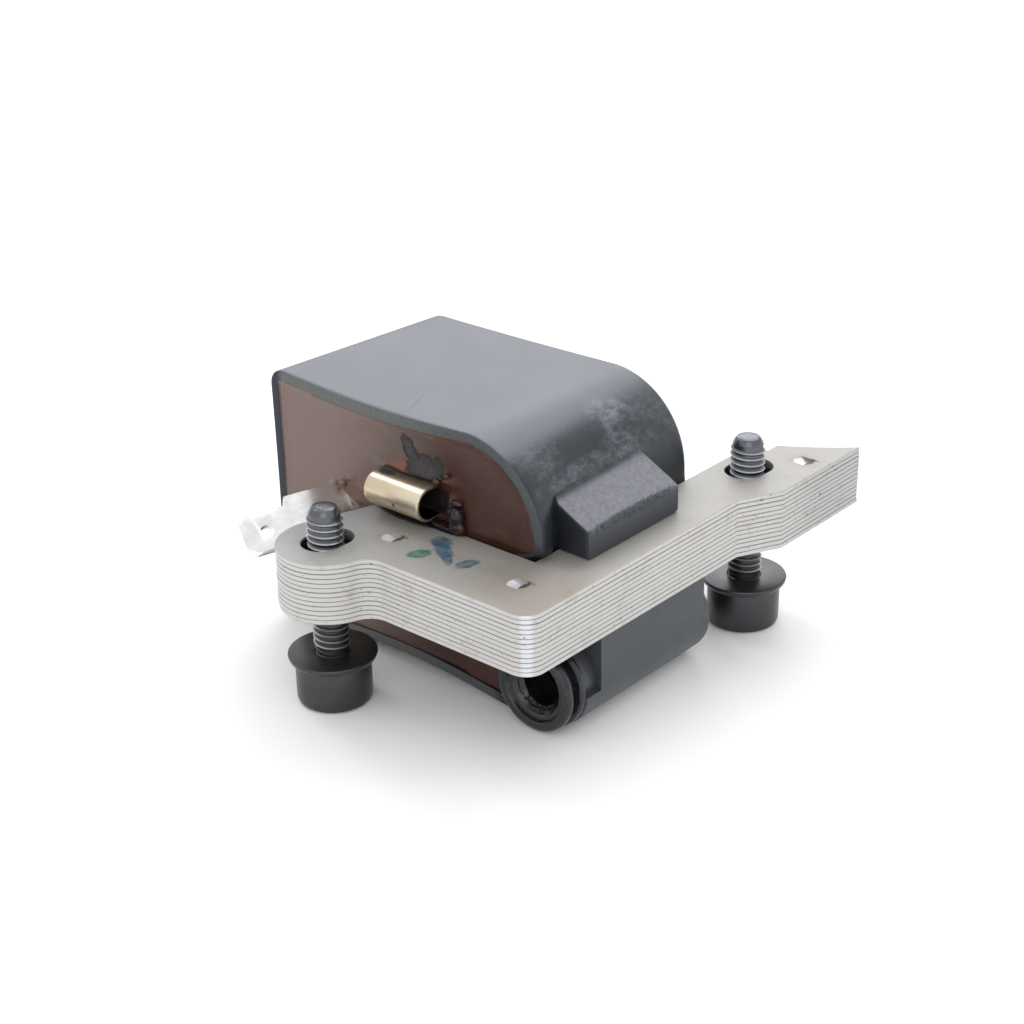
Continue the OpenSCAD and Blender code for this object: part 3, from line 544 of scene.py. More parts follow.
def metalLook(name, light, dark, roughness, streak, grainSize=6.0, spots=(), depth=0.008, inside=None):
    # bright or blackened metal with soft clouds, drawn streaks and coloured spots, and painted shade inside a
    # loop
    material, coords = startMaterial(name, {"Metallic": 1.0})
    clouds = speckle(coords, grainSize, 4)
    lines = speckle(coords, streak, 4, 0.6)
    base = paint(light, (dark, ramp(clouds, 0.35, 0.68)),
                 (dark, between(lines, 0.45, 0.75), 0.35))
    stainsAndShade = None
    for centre, size, shade, amount in spots:
        spot = times(spotMask(coords, centre, size, ragged=0.4, grain=0.9, edge=0.25), amount)
        base = paint(base, (shade, spot))
        stainsAndShade = spot if stainsAndShade is None else plus(stainsAndShade, spot)
    # painted shade in the loop's hollow
    if inside:
        y, z, radius, shade = inside
        local = mapped(coords, (0, y, z))
        back, lift = least(axisOf(local, "Y"), 0.0), axisOf(local, "Z")
        reach = calc("SQRT", plus(times(back, back), times(lift, lift)))
        base = paint(base, (shade, between(reach, radius + 0.04, radius - 0.02)))
    rough = span(lines, *roughness)
    if stainsAndShade:
        rough = plus(rough, times(stainsAndShade, 0.25))
    return finishLook(material, base, rough, lines, depth)


def blackSteelLook():
    look = dict(
        black=(0.06, 0.062, 0.067), brown=(0.078, 0.072, 0.068), bright=(0.14, 0.145, 0.165),
        wornCrestHighlight=(0.58, 0.6, 0.64), roughness=(0.26, 0.42))
    material, coords = startMaterial("blackSteel", {"Metallic": 0.85, "IOR": 1.6})
    up = axisOf(coords, "Z")
    clouds = speckle(coords, 4, 4)
    grain = speckle(coords, 0.3, 3)
    worn = times(between(up, -2 * mm, 1 * mm), 0.85, timesPlus(clouds, 0.5, 0.6))
    base = paint(look["black"], (look["brown"], ramp(clouds, 0.4, 0.62)),
                 (look["bright"], worn))
    for x, y in screwSpots.values():
        away = lengthOf(onVector("MULTIPLY", mapped(coords, (x, y, 0)), (1, 1, 0)))
        # thread crests: wear and a painted highlight
        base = paint(base, (look["wornCrestHighlight"], between(away, 2.24, 2.42), between(away, 4.0, 3.5),
                            between(up, -16.3 * mm, -16.1 * mm), 0.8))
    rough = minus(span(grain, *look["roughness"]), times(worn, 0.1))
    return finishLook(material, base, rough, grain)


def softLook(name, light, dark, roughness, size=3.0, bump=0.02, dust=0.0, fixed=None, rows=None):
    # rubber, nylon, epoxy and enamel: clouds, fine grain and, with rows, turns of wire along y
    material, coords = startMaterial(name, fixed or {})
    clouds = speckle(coords, size, 4)
    grain = speckle(coords, size / 12, 3)
    base = paint(light, (dark, ramp(clouds, 0.35, 0.68)))
    height = grain
    if rows:
        height = addNode(material.node_tree, "ShaderNodeTexWave", {
            "Vector": mapped(coords, size=(rows,) * 3), "Scale": 0.32, "Distortion": 0.4,
            "Detail": 1.0}, "Fac", bands_direction="Y")
        base = paint(base, (dark, between(height, 0.4, 0.0), 0.7))
    if dust:
        flecks = between(speckle(coords, 0.4, 2, 0.4), 0.7, 0.74)
        base = paint(base, ((0.35, 0.35, 0.34), flecks, dust))
    return finishLook(material, base, span(clouds, *roughness), height, bump)


def boardLook():
    # green laminate with a weave and copper tracks under the varnish
    look = dict(dark=(0.02, 0.13, 0.045), light=(0.03, 0.19, 0.07), track=(0.1, 0.3, 0.09))
    material, coords = startMaterial("boardLaminate", {"IOR": 1.55})
    weave = addNode(material.node_tree, "ShaderNodeTexChecker", {
        "Vector": mapped(coords, size=(0.4,) * 3), "Scale": 1}, "Fac")
    tracks = addNode(material.node_tree, "ShaderNodeTexBrick", {
        "Vector": mapped(coords, turn=(0, 90, 0), size=(3.4,) * 3), "Scale": 1,
        "Mortar Size": 0.09, "Mortar Smooth": 0.2}, "Fac")
    base = paint(look["dark"], (look["light"], weave, 0.25), (look["track"], tracks, 0.6))
    return finishLook(material, base, span(speckle(coords, 3), 0.25, 0.45), plus(weave, tracks), 0.03)


coreSteel = coreSteelLook()
blackPlastic = blackPlasticLook()
pottingResin = pottingLook()
blackSteel = blackSteelLook()
clipMetal = metalLook(
    "clipBrass", (0.735, 0.645, 0.5), (0.6, 0.5, 0.36), (0.27, 0.38), (14, 1.6, 1.2), 5.0,
    # a painted reflection of the dark potting along the clip's top
    [((-30.5, 11.9, 6.2), (6.5, 1.5, 1.3), (0.17, 0.13, 0.1), 0.85),
     ((-33.6, 10.7, 6.3), (1.5, 0.7, 0.8), (0.03, 0.075, 0.06), 0.9),
     ((-30.1, 8.2, 3.2), (0.22, 0.5, 0.3), (0.05, 0.035, 0.02), 0.9),
     # painted shade on the clip's underside
     ((-30.5, 8.7, 2.1), (6.0, 1.3, 0.8), (0.42, 0.33, 0.24), 0.5),
     ((-33.5, 8.5, 3.0), (2.2, 0.8, 0.35), (0.5, 0.36, 0.18), 0.3)],
    # inside: painted shade in the loop's hollow
    inside=(10.45, 3.75, 1.97, (0.008, 0.007, 0.007)), depth=0.002)
tinMetal = metalLook(
    "tinPlate", (0.88, 0.88, 0.87), (0.72, 0.72, 0.71), (0.14, 0.3), (0.6, 3.0, 0.6), 2.5,
    [((-44.5, 11.6, 0.4), (2.6, 1.2, 1.0), (0.62, 0.45, 0.22), 0.6),
     ((-49.8, 0.6, -3.0), (4.6, 4.6, 2.4), (0.46, 0.47, 0.5), 0.6)])
rubber = softLook(
    "sealRubber", (0.009, 0.01, 0.013), (0.018, 0.018, 0.021), (0.07, 0.22), 2.0, 0.015, 0.12)
nylon = softLook("bobbinNylon", (0.62, 0.58, 0.48), (0.52, 0.47, 0.37), (0.38, 0.5), 6.0)
enamel = softLook(
    "windingEnamel", (0.45, 0.17, 0.06), (0.14, 0.045, 0.018), (0.2, 0.32), 5.0, 0.12, rows=0.36,
    fixed={"Coat Weight": 0.4})
copper = metalLook("wireCopper", (0.72, 0.36, 0.2), (0.55, 0.24, 0.12), (0.22, 0.36), (0.5, 0.5, 0.5))
brass = metalLook("spikeBrass", (0.78, 0.6, 0.28), (0.6, 0.43, 0.18), (0.2, 0.34), (0.5, 4, 0.5))
laminate = boardLook()
capCase = softLook("capacitorCase", (0.42, 0.06, 0.035), (0.3, 0.04, 0.025), (0.28, 0.42), 4.0)
epoxy = softLook("chipEpoxy", (0.022, 0.022, 0.024), (0.035, 0.035, 0.037), (0.45, 0.6), 2.0)
resistorPaint = softLook("resistorPaint", (0.5, 0.36, 0.2), (0.42, 0.29, 0.16), (0.35, 0.5), 1.5)
print("materials made")


# Laminated core: one beveled lamination, stacked by Geometry Nodes

def startTree(name, first, inputs, last):
    # Geometry Nodes: a tree with named sockets, and what it is given
    tree = bpy.data.node_groups.new(name, "GeometryNodeTree")
    for label, kind in ((first, "Geometry"), *inputs.items()):
        tree.interface.new_socket(label, in_out="INPUT", socket_type="NodeSocket" + kind)
    tree.interface.new_socket(last, in_out="OUTPUT", socket_type="NodeSocketGeometry")
    return tree, tree.nodes.new("NodeGroupInput").outputs


def endTree(tree, geometry, material):
    real = addNode(tree, "GeometryNodeRealizeInstances", {"Geometry": geometry})
    dressed = addNode(tree, "GeometryNodeSetMaterial", {"Geometry": real, "Material": material})
    addNode(tree, "NodeGroupOutput", {0: dressed})
    return tree


def stackTree(material):
    tree, given = startTree("laminationStack", "Lamination", {
        "Count": "Int", "Pitch": "Float", "Slip": "Float", "Seed": "Int"}, "Stack")
    step = addNode(tree, "ShaderNodeCombineXYZ", {"Z": times(given["Pitch"], -1.0)})
    points = addNode(tree, "GeometryNodeMeshLine", {"Count": given["Count"], "Offset": step})
    slip = addNode(tree, "FunctionNodeRandomValue", {
        0: (-1, -1, 0), 1: (1, 1, 0), "Seed": given["Seed"]}, data_type="FLOAT_VECTOR")
    shift = addNode(tree, "ShaderNodeVectorMath", {0: slip, "Scale": given["Slip"]}, operation="SCALE")
    moved = addNode(tree, "GeometryNodeSetPosition", {"Geometry": points, "Offset": shift})
    copies = addNode(tree, "GeometryNodeInstanceOnPoints", {
        "Points": moved, "Instance": given["Lamination"]})
    return endTree(tree, copies, material)


def runTree(piece, tree, values):
    step = piece.modifiers.new(tree.name, "NODES")
    step.node_group = tree
    for item in tree.interface.items_tree:
        if item.item_type == "SOCKET" and item.in_out == "INPUT" and item.name in values:
            step[item.identifier] = values[item.name]
    settle(piece)


def buildCore():
    piece = addPiece("coreStack", cadNodes["lamination_01"].data.copy())
    work = bmesh.new()
    work.from_mesh(piece.data)
    bmesh.ops.remove_doubles(work, verts=work.verts, dist=core["weld"] * mm)
    flat = radians(core["flat"])
    bmesh.ops.dissolve_limit(work, angle_limit=flat, verts=work.verts, edges=work.edges)
    sharp, reach = radians(core["sharp"]), core["pitReach"] * mm
    pits = [place(*pit, 0).xy for pit in core["pits"]]
    rims = []
    for edge in work.edges:
        middle = (edge.verts[0].co + edge.verts[1].co) / 2
        nearPit = any((middle.xy - pit).length < reach for pit in pits)
        if edge.is_manifold and edge.calc_face_angle(0) > sharp and not nearPit:
            rims.append(edge)
    bmesh.ops.bevel(work, geom=rims, offset=core["rim"] * mm, offset_type="OFFSET", segments=2,
                    profile=0.5, affect="EDGES", clamp_overlap=True)
    work.to_mesh(piece.data)
    work.free()
    runTree(piece, stackTree(coreSteel), {
        "Count": core["count"], "Pitch": core["pitch"] * mm, "Slip": core["slip"] * mm,
        "Seed": core["seed"]})
    sheets = ["lamination_%02d" % (i + 1) for i in range(core["count"])]
    finishPiece(piece, "root", coreSteel, sheets, 15)
    for face in piece.data.polygons:
        face.use_smooth = abs(face.normal.z) < core["level"]


buildCore()


# Coil housing: a lofted cup with draft, a sunken top, a round shoulder, the lug and the lead socket

def housingRing(y, inset):
    share = clamp((y - housing["front"]) / (housing["back"] - housing["front"]))
    at = {key: blendOf(housing["mouth"][key], housing["rear"][key], share) for key in housing["mouth"]}
    shoulderX, shoulderZ, shoulderR = at["shoulderX"], at["shoulderZ"], at["shoulderR"]
    turn, low, high = housing["corner"], housing["low"], at["topLeft"] - housing["corner"]
    left, radius = at["left"] + turn, max(turn - inset, 0.3)
    ring = []

    def arc(x, z, start):
        for k in range(8):
            a = radians(start + 90 * k / 7)
            ring.append((x + radius * cos(a), y, z + radius * sin(a)))

    arc(left, low + turn, 180)
    run = housing["rightLow"] - 3 - left
    for k in range(1, 18):
        ring.append((left + run * k / 18, y, low + inset + at["sag"] * sin(pi * k / 18)))
    right = housing["rightLow"] - inset
    ring += [(right, y, low + inset), (right, y, -16), (right, y, -8)]
    # the wall steps out above the core with a round lower corner, and thins behind the lip
    (lipY, lipRun), (fadeZ, fadeRun) = housing["lip"], housing["fade"]
    past = clamp((y - lipY) / lipRun)
    hollow = housing["hollow"] * (1 - share) * past ** 2 * (3 - 2 * past)
    nose = lipRun * (1 - sqrt(1 - clamp((lipY - y) / lipRun) ** 2))
    reach = shoulderR - inset
    step, height = housing["step"] + inset * 0.03, housing["stepRadius"] - inset * 0.2
    for k in range(9):
        a = pi / 2 * k / 8
        x = right + (shoulderX + reach - right - hollow) * sin(a) - nose * cos(a)
        ring.append((x, y, step + height * (1 - cos(a))))
    for k in range(35):
        a = radians(90 * k / 34)
        z = shoulderZ + reach * sin(a)
        ring.append((shoulderX + reach * cos(a) - hollow * clamp((fadeZ - z) / fadeRun), y, z))
    for k in range(1, 24):
        share = k / 24
        sink = sin(pi * share) * (at["dip"] + at["thick"] * inset / housing["wall"])
        z = blendOf(shoulderZ + shoulderR, at["topLeft"], share) - inset - sink
        ring.append((shoulderX - (shoulderX - left) * share, y, z))
    arc(left, high, 90)
    for k in range(1, 8):
        x = at["left"] + inset + at["bow"] * sin(pi * k / 8)
        ring.append((x, y, blendOf(high, low + turn, k / 8)))
    return ring


lug = dict(y0=16.7, y1=35.3, inner=-12.5, outer=-4.1, low=0.1, high=3.95, rise=0.5, edge=0.8,
           bend=(-9.15, -10.46), fillet=1.4, pitDepth=0.12, pitSize=0.4)
socket = dict(
    x=-8, z=-17, r=6.4, y0=13.2, y1=40.1, endEdge=0.9, flankX=-1.6, flankLeft=-10.4, flankTop=-8.6,
    flankEnd=38.1, notchEnd=16, notchLow=-17.6, sleeve=5.4, well=6.45, open=11, seat=4.6, seatEnd=18.8,
    bore=3.6, boreEnd=33.2)


def lugRing(y, inset):
    bendX = blendOf(*lug["bend"], (y - lug["y0"]) / (lug["y1"] - lug["y0"]))
    bendZ = lug["high"] + (lug["outer"] - bendX) * lug["rise"] - inset
    right, low, high = lug["outer"] - inset, lug["low"] + inset, lug["high"] - inset
    loop = roundedLoop(
        [(lug["inner"], low), (right, low), (right, low + 0.35), (right, high - 0.85), (right, high),
         (bendX, bendZ), (bendX - 0.48, bendZ + 0.96), (lug["inner"], bendZ + 1.2)],
        [0, 0.2, 0, 0, lug["edge"], lug["fillet"], 0, 0], 8)
    loop.insert(next(i for i, (x, z) in enumerate(loop) if z > high + 0.5), (right - 1.5, high + 0.75))
    ring = []
    for x, z in loop:
        # the moulding's outer top edge is slightly pitted
        near = clamp(1 - hypot(x - lug["outer"] + 0.2, z - lug["high"] + 0.1) / 0.8)
        pit = clamp(noise.noise(Vector((x, y, z)) / lug["pitSize"]) - 0.05) * lug["pitDepth"] * 4 * near
        foot = 0.12 * noise.noise(Vector((x, y * 1.3, 5))) if z < lug["low"] + 0.2 else 0
        ring.append((x - pit * 0.7, y, z - pit * 0.7 + foot))
    return ring


def buildHousing():
    front, back, wall, edge = housing["front"], housing["back"], housing["wall"], housing["rimEdge"]
    inner = [(blendOf(back - wall, front + 0.5, k / 8), wall) for k in range(9)]
    rim = [(front + 0.12, wall), (front + 0.03, wall - 0.06), (front, wall - 0.18), (front, edge),
           (front + edge * 0.1, edge * 0.5), (front + edge * 0.35, edge * 0.2), (front + edge, 0)]
    turnY = back - housing["backEdge"]
    outer = [(blendOf(front + 0.8, turnY, k / 20), 0) for k in range(21)]
    for k in range(1, 7):
        a = pi / 2 * k / 6
        outer.append((turnY + housing["backEdge"] * sin(a), housing["backEdge"] * (1 - cos(a))))
    piece = loft("coilHousing", [housingRing(y, inset) for y, inset in inner + rim + outer])
    print("housing cup", len(piece.data.polygons))

    # many thin slices carry the lug's pitted edge
    start, stop = lug["y0"], lug["y1"]
    steps = [(start, 0.1), (start + 0.1, 0)]
    steps += [(blendOf(start + 0.2, stop - 0.2, k / 110), 0) for k in range(1, 110)]
    steps += [(stop - 0.1, 0), (stop, 0.1)]
    saddle = loft("saddle", [lugRing(y, inset) for y, inset in steps])

    x, z, r, e = socket["x"], socket["z"], socket["r"], socket["endEdge"]
    profile = [(0, socket["y0"]), (r - 0.15, socket["y0"]), (r, socket["y0"] + 0.15)]
    for k in range(7):
        a = pi / 2 * k / 6
        profile.append((r - e * (1 - cos(a)), socket["y1"] - e + e * sin(a)))
    tube = lathe("tube", profile + [(0, socket["y1"])], (x, 0, z), "y", 128)
    left, right, top = socket["flankLeft"], socket["flankX"], socket["flankTop"]
    loop = roundedLoop([(left, z), (right, z), (right, top), (left, top)], [0, 0, 0.2, 0], 3)
    flank = loft("flank", [[(a, y, b) for a, b in loop] for y in (socket["y0"], socket["flankEnd"])])
    carve(piece, "UNION", [saddle, tube, flank])
    print("housing joined", len(piece.data.polygons))

    notch = boxPiece("notch", (x, socket["y0"] - 1, socket["notchLow"]),
                     (x + r + 2, socket["notchEnd"], 1 - r))
    carve(notch, "DIFFERENCE", [rodPiece("sleeve", socket["sleeve"], x, z, 5, 20, 128)])
    window = boxPiece("window", *housing["window"])
    holes = (("well", "y0", 128), ("seat", "seatEnd", 96), ("bore", "boreEnd", 96))
    carve(piece, "DIFFERENCE", [notch, window] + [
        rodPiece(name, socket[name], x, z, socket["open"], socket[end], steps)
        for name, end, steps in holes])
    finishPiece(piece, "root", blackPlastic, ["coil_housing"], 32)


buildHousing()


# Potting: the CAD solid behind a poured face with menisci and drips

potting = dict(
    level=12.48, behind=13.3, inset=1.34, wave=0.05, creep=0.22, creepReach=0.45, outlineAt=12.75,
    gridX=(-58, -7, -46, -20, 0.2, 0.8), gridZ=(-25, 16, -2.5, 8, 0.2, 0.8), leadHole=7.4,
    leg=((-30.83, 8, -8.61), (-22.07, 20, 0.03)), front=((-70, 5, -40), (5, 13.25, 30)),
    # bumps and dips: x, z, height, reach along x and z; beads: centre and half sizes
    bumps=((-24.0, 3.4, 0.5, 1.3, 2.0), (-30.5, 6.6, 0.95, 5.2, 0.8), (-30.5, 1.3, 0.3, 5.2, 0.4),
           (-25.0, 7.0, 0.3, 0.8, 0.7), (-43.6, 1.2, 0.65, 0.7, 0.5), (-44.9, 0.6, 0.7, 0.5, 0.45),
           (-42.2, 2.0, 0.25, 0.6, 0.5), (-43.8, 0.2, 0.6, 1.6, 0.9), (-41.2, -0.8, 0.6, 1.4, 0.8),
           (-36.3, 3.6, 0.2, 0.8, 2.4)),
    dips=((-16.5, -0.1, 0.3, 6.0, 0.9),),
    beads=(((-22.4, 12.1, 4.35), (0.95, 0.6, 0.45)), ((-22.5, 11.9, 2.3), (1.2, 0.95, 1.55)),
           ((-22.3, 11.8, 1.0), (1.3, 0.8, 1.0)), ((-24.2, 11.95, 0.35), (2.6, 0.6, 0.5)),
           ((-25.4, 11.6, 6.75), (0.55, 0.5, 0.42)), ((-24.1, 12.1, 7.65), (0.5, 0.4, 0.4)),
           ((-24.9, 11.9, 7.3), (0.4, 0.4, 0.3)), ((-43.3, 11.9, 1.35), (0.55, 0.5, 0.45)),
           ((-44.7, 11.9, 0.75), (0.42, 0.4, 0.4))))


def pottingDepth(x, z):
    mouth, inset = housing["mouth"], potting["inset"]
    y = potting["level"] + potting["wave"] * noise.noise(Vector((x / 7, z / 7, 1)))
    share = clamp((mouth["shoulderX"] - x) / (mouth["shoulderX"] - mouth["left"] - housing["corner"]))
    high = mouth["shoulderZ"] + mouth["shoulderR"]
    top = high - inset - sin(pi * share) * (mouth["dip"] + mouth["thick"])
    gaps = [top - z, x - mouth["left"] - inset]
    if x > mouth["shoulderX"]:
        away = hypot(x - mouth["shoulderX"], max(0, z - mouth["shoulderZ"]))
        gaps[0] = mouth["shoulderR"] - inset - away
    y -= potting["creep"] * exp(-max(0, min(gaps)) / potting["creepReach"])
    for sign, group in ((-1, potting["bumps"]), (1, potting["dips"])):
        for bx, bz, height, sx, sz in group:
            far = ((x - bx) / sx) ** 2 + ((z - bz) / sz) ** 2
            y += sign * height * exp(-far)
    return y


def gridLines(low, high, fineLow, fineHigh, fine, coarse):
    lines, at = [], low
    while at < high:
        lines.append(at)
        at += fine if fineLow <= at < fineHigh else coarse
    return lines + [high]


def ballPiece(name, centre, size):
    rings = [pi * k / 16 for k in range(17)]
    profile = [(0, -1)] + [(sin(a), -cos(a)) for a in rings[1:-1]] + [(0, 1)]
    piece = lathe(name, profile, (0, 0, 0), "z", 32)
    shift = Matrix.Translation(place(*centre)) @ Matrix.Diagonal((*size, 1)) @ Matrix.Translation(-corner)
    piece.data.transform(shift)
    return piece


def buildPotting():
    xs, zs = gridLines(*potting["gridX"]), gridLines(*potting["gridZ"])
    wide, tall = len(xs), len(zs)
    points = [(x, pottingDepth(x, z), z) for z in zs for x in xs]
    points += [(x, potting["behind"], z) for z in (zs[0], zs[-1]) for x in (xs[0], xs[-1])]
    faces = [(k * wide + i, k * wide + i + 1, (k + 1) * wide + i + 1, (k + 1) * wide + i)
             for k in range(tall - 1) for i in range(wide - 1)]
    a, b, c, d = range(wide * tall, wide * tall + 4)
    grid = range(wide * tall)
    faces += [(a, b, d, c), (a, *grid[:wide], b), (c, *grid[-wide:], d), (a, *grid[::wide], c),
              (b, *grid[wide - 1::wide], d)]
    piece = makePiece("pottingCompound", points, faces)
    ring = housingRing(potting["outlineAt"], potting["inset"])
    outline = loft("outline", [[(x, y, z) for x, at, z in ring] for y in (8, potting["behind"] + 2)])
    carve(piece, "INTERSECT", [outline])
    leg = boxPiece("leg", *potting["leg"])
    lead = rodPiece("lead", potting["leadHole"], socket["x"], socket["z"], 5, 20)
    carve(piece, "DIFFERENCE", [leg, lead])
    print("potting face", len(piece.data.polygons))
    rest = addPiece("pottingRest", cadNodes["potting_compound"].data.copy())
    tidyMesh(rest)
    carve(rest, "DIFFERENCE", [boxPiece("frontLayer", *potting["front"])])
    beads = [ballPiece("bead%d" % i, *bead) for i, bead in enumerate(potting["beads"])]
    carve(piece, "UNION", [rest] + beads)
    finishPiece(piece, "root", pottingResin, ["potting_compound"], 40)


buildPotting()


# Ground clip: a strip bent into a loop that opens into the potting

clip = dict(x0=-35.4, x1=-25.7, front=8.1, back=13.6, low=1.4, high=6.1, strip=0.45, edge=0.09, bell=0.05)


def clipRing(x, grow):
    radius = (clip["high"] - clip["low"]) / 2
    middleY, middleZ = clip["front"] + radius, (clip["high"] + clip["low"]) / 2
    ring = []
    for r, back in ((radius + grow, False), (radius - clip["strip"] + grow, True)):
        path = [(clip["back"], middleZ + r)]
        for k in range(29):
            a = radians(90 + 180 * k / 28)
            path.append((middleY + r * cos(a), middleZ + r * sin(a)))
        path.append((clip["back"], middleZ - r))
        ring += reversed(path) if back else path
    return [(x, y, z) for y, z in ring]


def buildClip():
    length = clip["x1"] - clip["x0"]
    rings = []
    for k in range(25):
        share = k / 24
        grow = clip["bell"] * (abs(2 * share - 1) ** 6 - 0.5) * 0.5
        rings.append(clipRing(clip["x0"] + length * share, grow))
    piece = loft("groundClip", rings)
    roundEdges(piece, clip["edge"], 50)
    finishPiece(piece, "root", clipMetal, ["ground_clip"], 35)


buildClip()


# Kill terminal: a strip that bows, turns and ends in a punched tab

tab = dict(
    left=-44.1, front=12.2, level=0.58, direction=248, rootTilt=50, endTilt=32, baseLength=8.4,
    length=7.3, width=6.3, shoulder=1.3, slope=0.5, cut=1.1, bow=0.35, drop=0.5, thick=0.8, sunk=2.2,
    hole=0.9, holeIn=3.4, edge=0.06, coin=(0.55, 0.2))


def tabFrame(s):
    turn = radians(tab["direction"])
    along = Vector((cos(turn), sin(turn), 0))
    side = Vector((-along.y, along.x, 0))
    share = clamp(s / tab["baseLength"])
    tilt = radians(blendOf(tab["rootTilt"], tab["endTilt"], share))
    beyond = max(0, s - tab["baseLength"])
    rise = tab["bow"] * sin(pi * share) - tab["drop"] * beyond / tab["length"]
    across = side * cos(tilt) - Vector((0, 0, sin(tilt)))
    start = Vector((tab["left"], tab["front"], tab["level"] + rise)) + along * s
    return start, across, across.cross(along)


def tabRing(s, low, high, coin=(0.12, 0.1), thin=0.0):
    # the strip's section, with its edges coined down by coin (inwards, in height)
    start, across, up = tabFrame(s)
    run, fall = coin
    half = tab["thick"] / 2 - thin
    section = ((low + run, -half), (high - run, -half), (high, -half + fall), (high, half - fall),
               (high - run, half), (low + run, half), (low, half - fall), (low, -half + fall))
    return [tuple(start + across * w + up * lift) for w, lift in section]


def buildTab():
    base, cut, coin = tab["baseLength"], tab["cut"], tab["coin"]
    left, right, stop = tab["shoulder"], tab["width"] + tab["shoulder"], base + tab["length"]
    rings = [tabRing(blendOf(-tab["sunk"], base, k / 28), 0, right) for k in range(29)]
    flat, edge = base + tab["slope"], stop - cut
    rings.append(tabRing(flat, left, right))
    rings += [tabRing(blendOf(flat, edge, k / 6), left, right, coin) for k in range(1, 7)]
    # the free end is cut at both corners and thins out
    for back, nick, run, thin in (
            (0.9, 0.12, coin, 0.0), (0.3, 0.55, coin, 0.12), (0, cut, (0.2, 0.1), 0.18)):
        rings.append(tabRing(stop - back, left + nick, right - nick, run, thin))
    piece = loft("killTerminal", rings)
    start, across, up = tabFrame(stop - tab["holeIn"])
    middle = start + across * (tab["shoulder"] + tab["width"] / 2)
    punch = lathe("punch", [(0, -3), (tab["hole"], -3), (tab["hole"], 3), (0, 3)], (0, 0, 0), "z", 40)
    turn = up.to_track_quat("Z", "Y").to_matrix().to_4x4()
    punch.data.transform(Matrix.Translation(place(*middle)) @ turn @ Matrix.Translation(-corner))
    carve(piece, "DIFFERENCE", [punch])
    roundEdges(piece, tab["edge"], 28)
    finishPiece(piece, "root", tinMetal, ["kill_terminal"], 35)


buildTab()


# Lead seal: a turned rubber ring with a groove, a mouth and rough lips

seal = dict(centre=(-8, 0, -17), rough=0.13, smooth=0.02, profile=(
    (4.62, 10.1), (4.72, 9.82), (4.9, 9.71), (5.2, 9.7), (5.7, 9.75), (5.95, 9.86), (6.08, 10.05),
    (6.1, 10.4), (6.08, 10.75), (5.98, 10.93), (5.8, 11.0), (5.25, 11.02), (5.12, 11.12), (5.1, 11.5),
    (5.14, 11.88), (5.3, 11.99), (5.95, 12.02), (6.18, 12.1), (6.28, 12.28), (6.3, 12.7), (6.27, 13.0),
    (6.15, 13.17), (5.9, 13.2), (4.62, 13.2), (4.55, 13.3), (4.55, 18.75), (3.5, 18.75), (3.5, 17.95),
    (3.12, 17.45), (3.5, 16.95), (3.5, 16.55), (3.12, 16.05), (3.5, 15.55), (3.5, 14.0), (3.42, 13.0),
    (3.3, 12.2), (3.05, 11.75), (2.98, 11.55), (3.08, 11.35), (3.3, 11.22), (3.42, 11.0), (3.5, 10.85),
    (3.72, 10.72), (3.85, 10.5), (4.05, 10.36), (4.35, 10.32), (4.52, 10.28)))


def buildSeal():
    def wobble(r, h, turn):
        spot = Vector((cos(turn) * 3, sin(turn) * 3, h))
        amount = seal["rough"] if r < 3.5 else seal["smooth"]
        return amount * noise.noise(spot * 1.9) + amount * 0.5 * noise.noise(spot * 5)

    piece = lathe("leadSeal", seal["profile"], seal["centre"], "y", 128, wobble)
    finishPiece(piece, "root", rubber, ["lead_seal"], 40)


buildSeal()


# Screws with captive washers: turned bodies, helical threads made by Geometry Nodes

screw = dict(
    root=2.1, ridge=0.34, pitch=0.9, threadLow=-15.95, threadHigh=3.95, fadeIn=0.6, fadeOut=1.0,
    perTurn=56, keyAcross=4.0, keyDepth=3.0, keyTip=0.8, keyMouth=0.25, mouthDepth=0.35,
    body=((0, -23.4), (4.2, -23.4), (4.62, -23.32), (4.93, -23.08), (5.06, -22.75), (5.1, -22.2),
          (5.1, -17.7), (5.02, -17.42), (4.8, -17.28), (2.3, -17.28), (2.3, -16.4), (2.1, -16.25),
          (2.1, 4.0), (2.07, 4.12), (1.72, 4.66), (1.62, 4.77), (1.5, 4.83), (0.9, 4.88), (0, 4.9)))
washer = dict(profile=(
    (2.36, -17.17), (2.45, -17.25), (5.45, -17.25), (5.72, -17.17), (5.86, -17.0), (5.98, -16.62),
    (6.0, -16.48), (5.93, -16.34), (5.75, -16.28), (2.45, -16.28), (2.36, -16.36)))


def threadTree(material):
    tree, given = startTree("threadRidge", "Body", {
        "Per turn": "Int", "Turns": "Float", "Radius": "Float", "Length": "Float", "Ridge": "Float",
        "Fade in": "Float", "Fade out": "Float", "Place": "Vector"}, "Screw")
    spiral = addNode(tree, "GeometryNodeCurveSpiral", {
        "Resolution": given["Per turn"], "Rotations": given["Turns"], "Start Radius": given["Radius"],
        "End Radius": given["Radius"], "Height": given["Length"], "Reverse": False})
    path = addNode(tree, "GeometryNodeSetCurveNormal", {"Curve": spiral}, mode="Z_UP")
    share = addNode(tree, "GeometryNodeSplineParameter", take="Factor")
    opening = times(share, over(given["Turns"], given["Fade in"]))
    ending = times(minus(1.0, share), over(given["Turns"], given["Fade out"]))
    scale = most(least(1.0, least(opening, ending)), 0.05)
    diamond = addNode(tree, "GeometryNodeCurvePrimitiveCircle", {
        "Resolution": 4, "Radius": given["Ridge"]})
    ridge = addNode(tree, "GeometryNodeCurveToMesh", {
        "Curve": path, "Profile Curve": diamond, "Scale": scale, "Fill Caps": True})
    moved = addNode(tree, "GeometryNodeTransform", {"Geometry": ridge, "Translation": given["Place"]})
    both = addNode(tree, "GeometryNodeJoinGeometry", {0: given["Body"]})
    tree.links.new(moved, both.node.inputs[0])
    return endTree(tree, both, material)


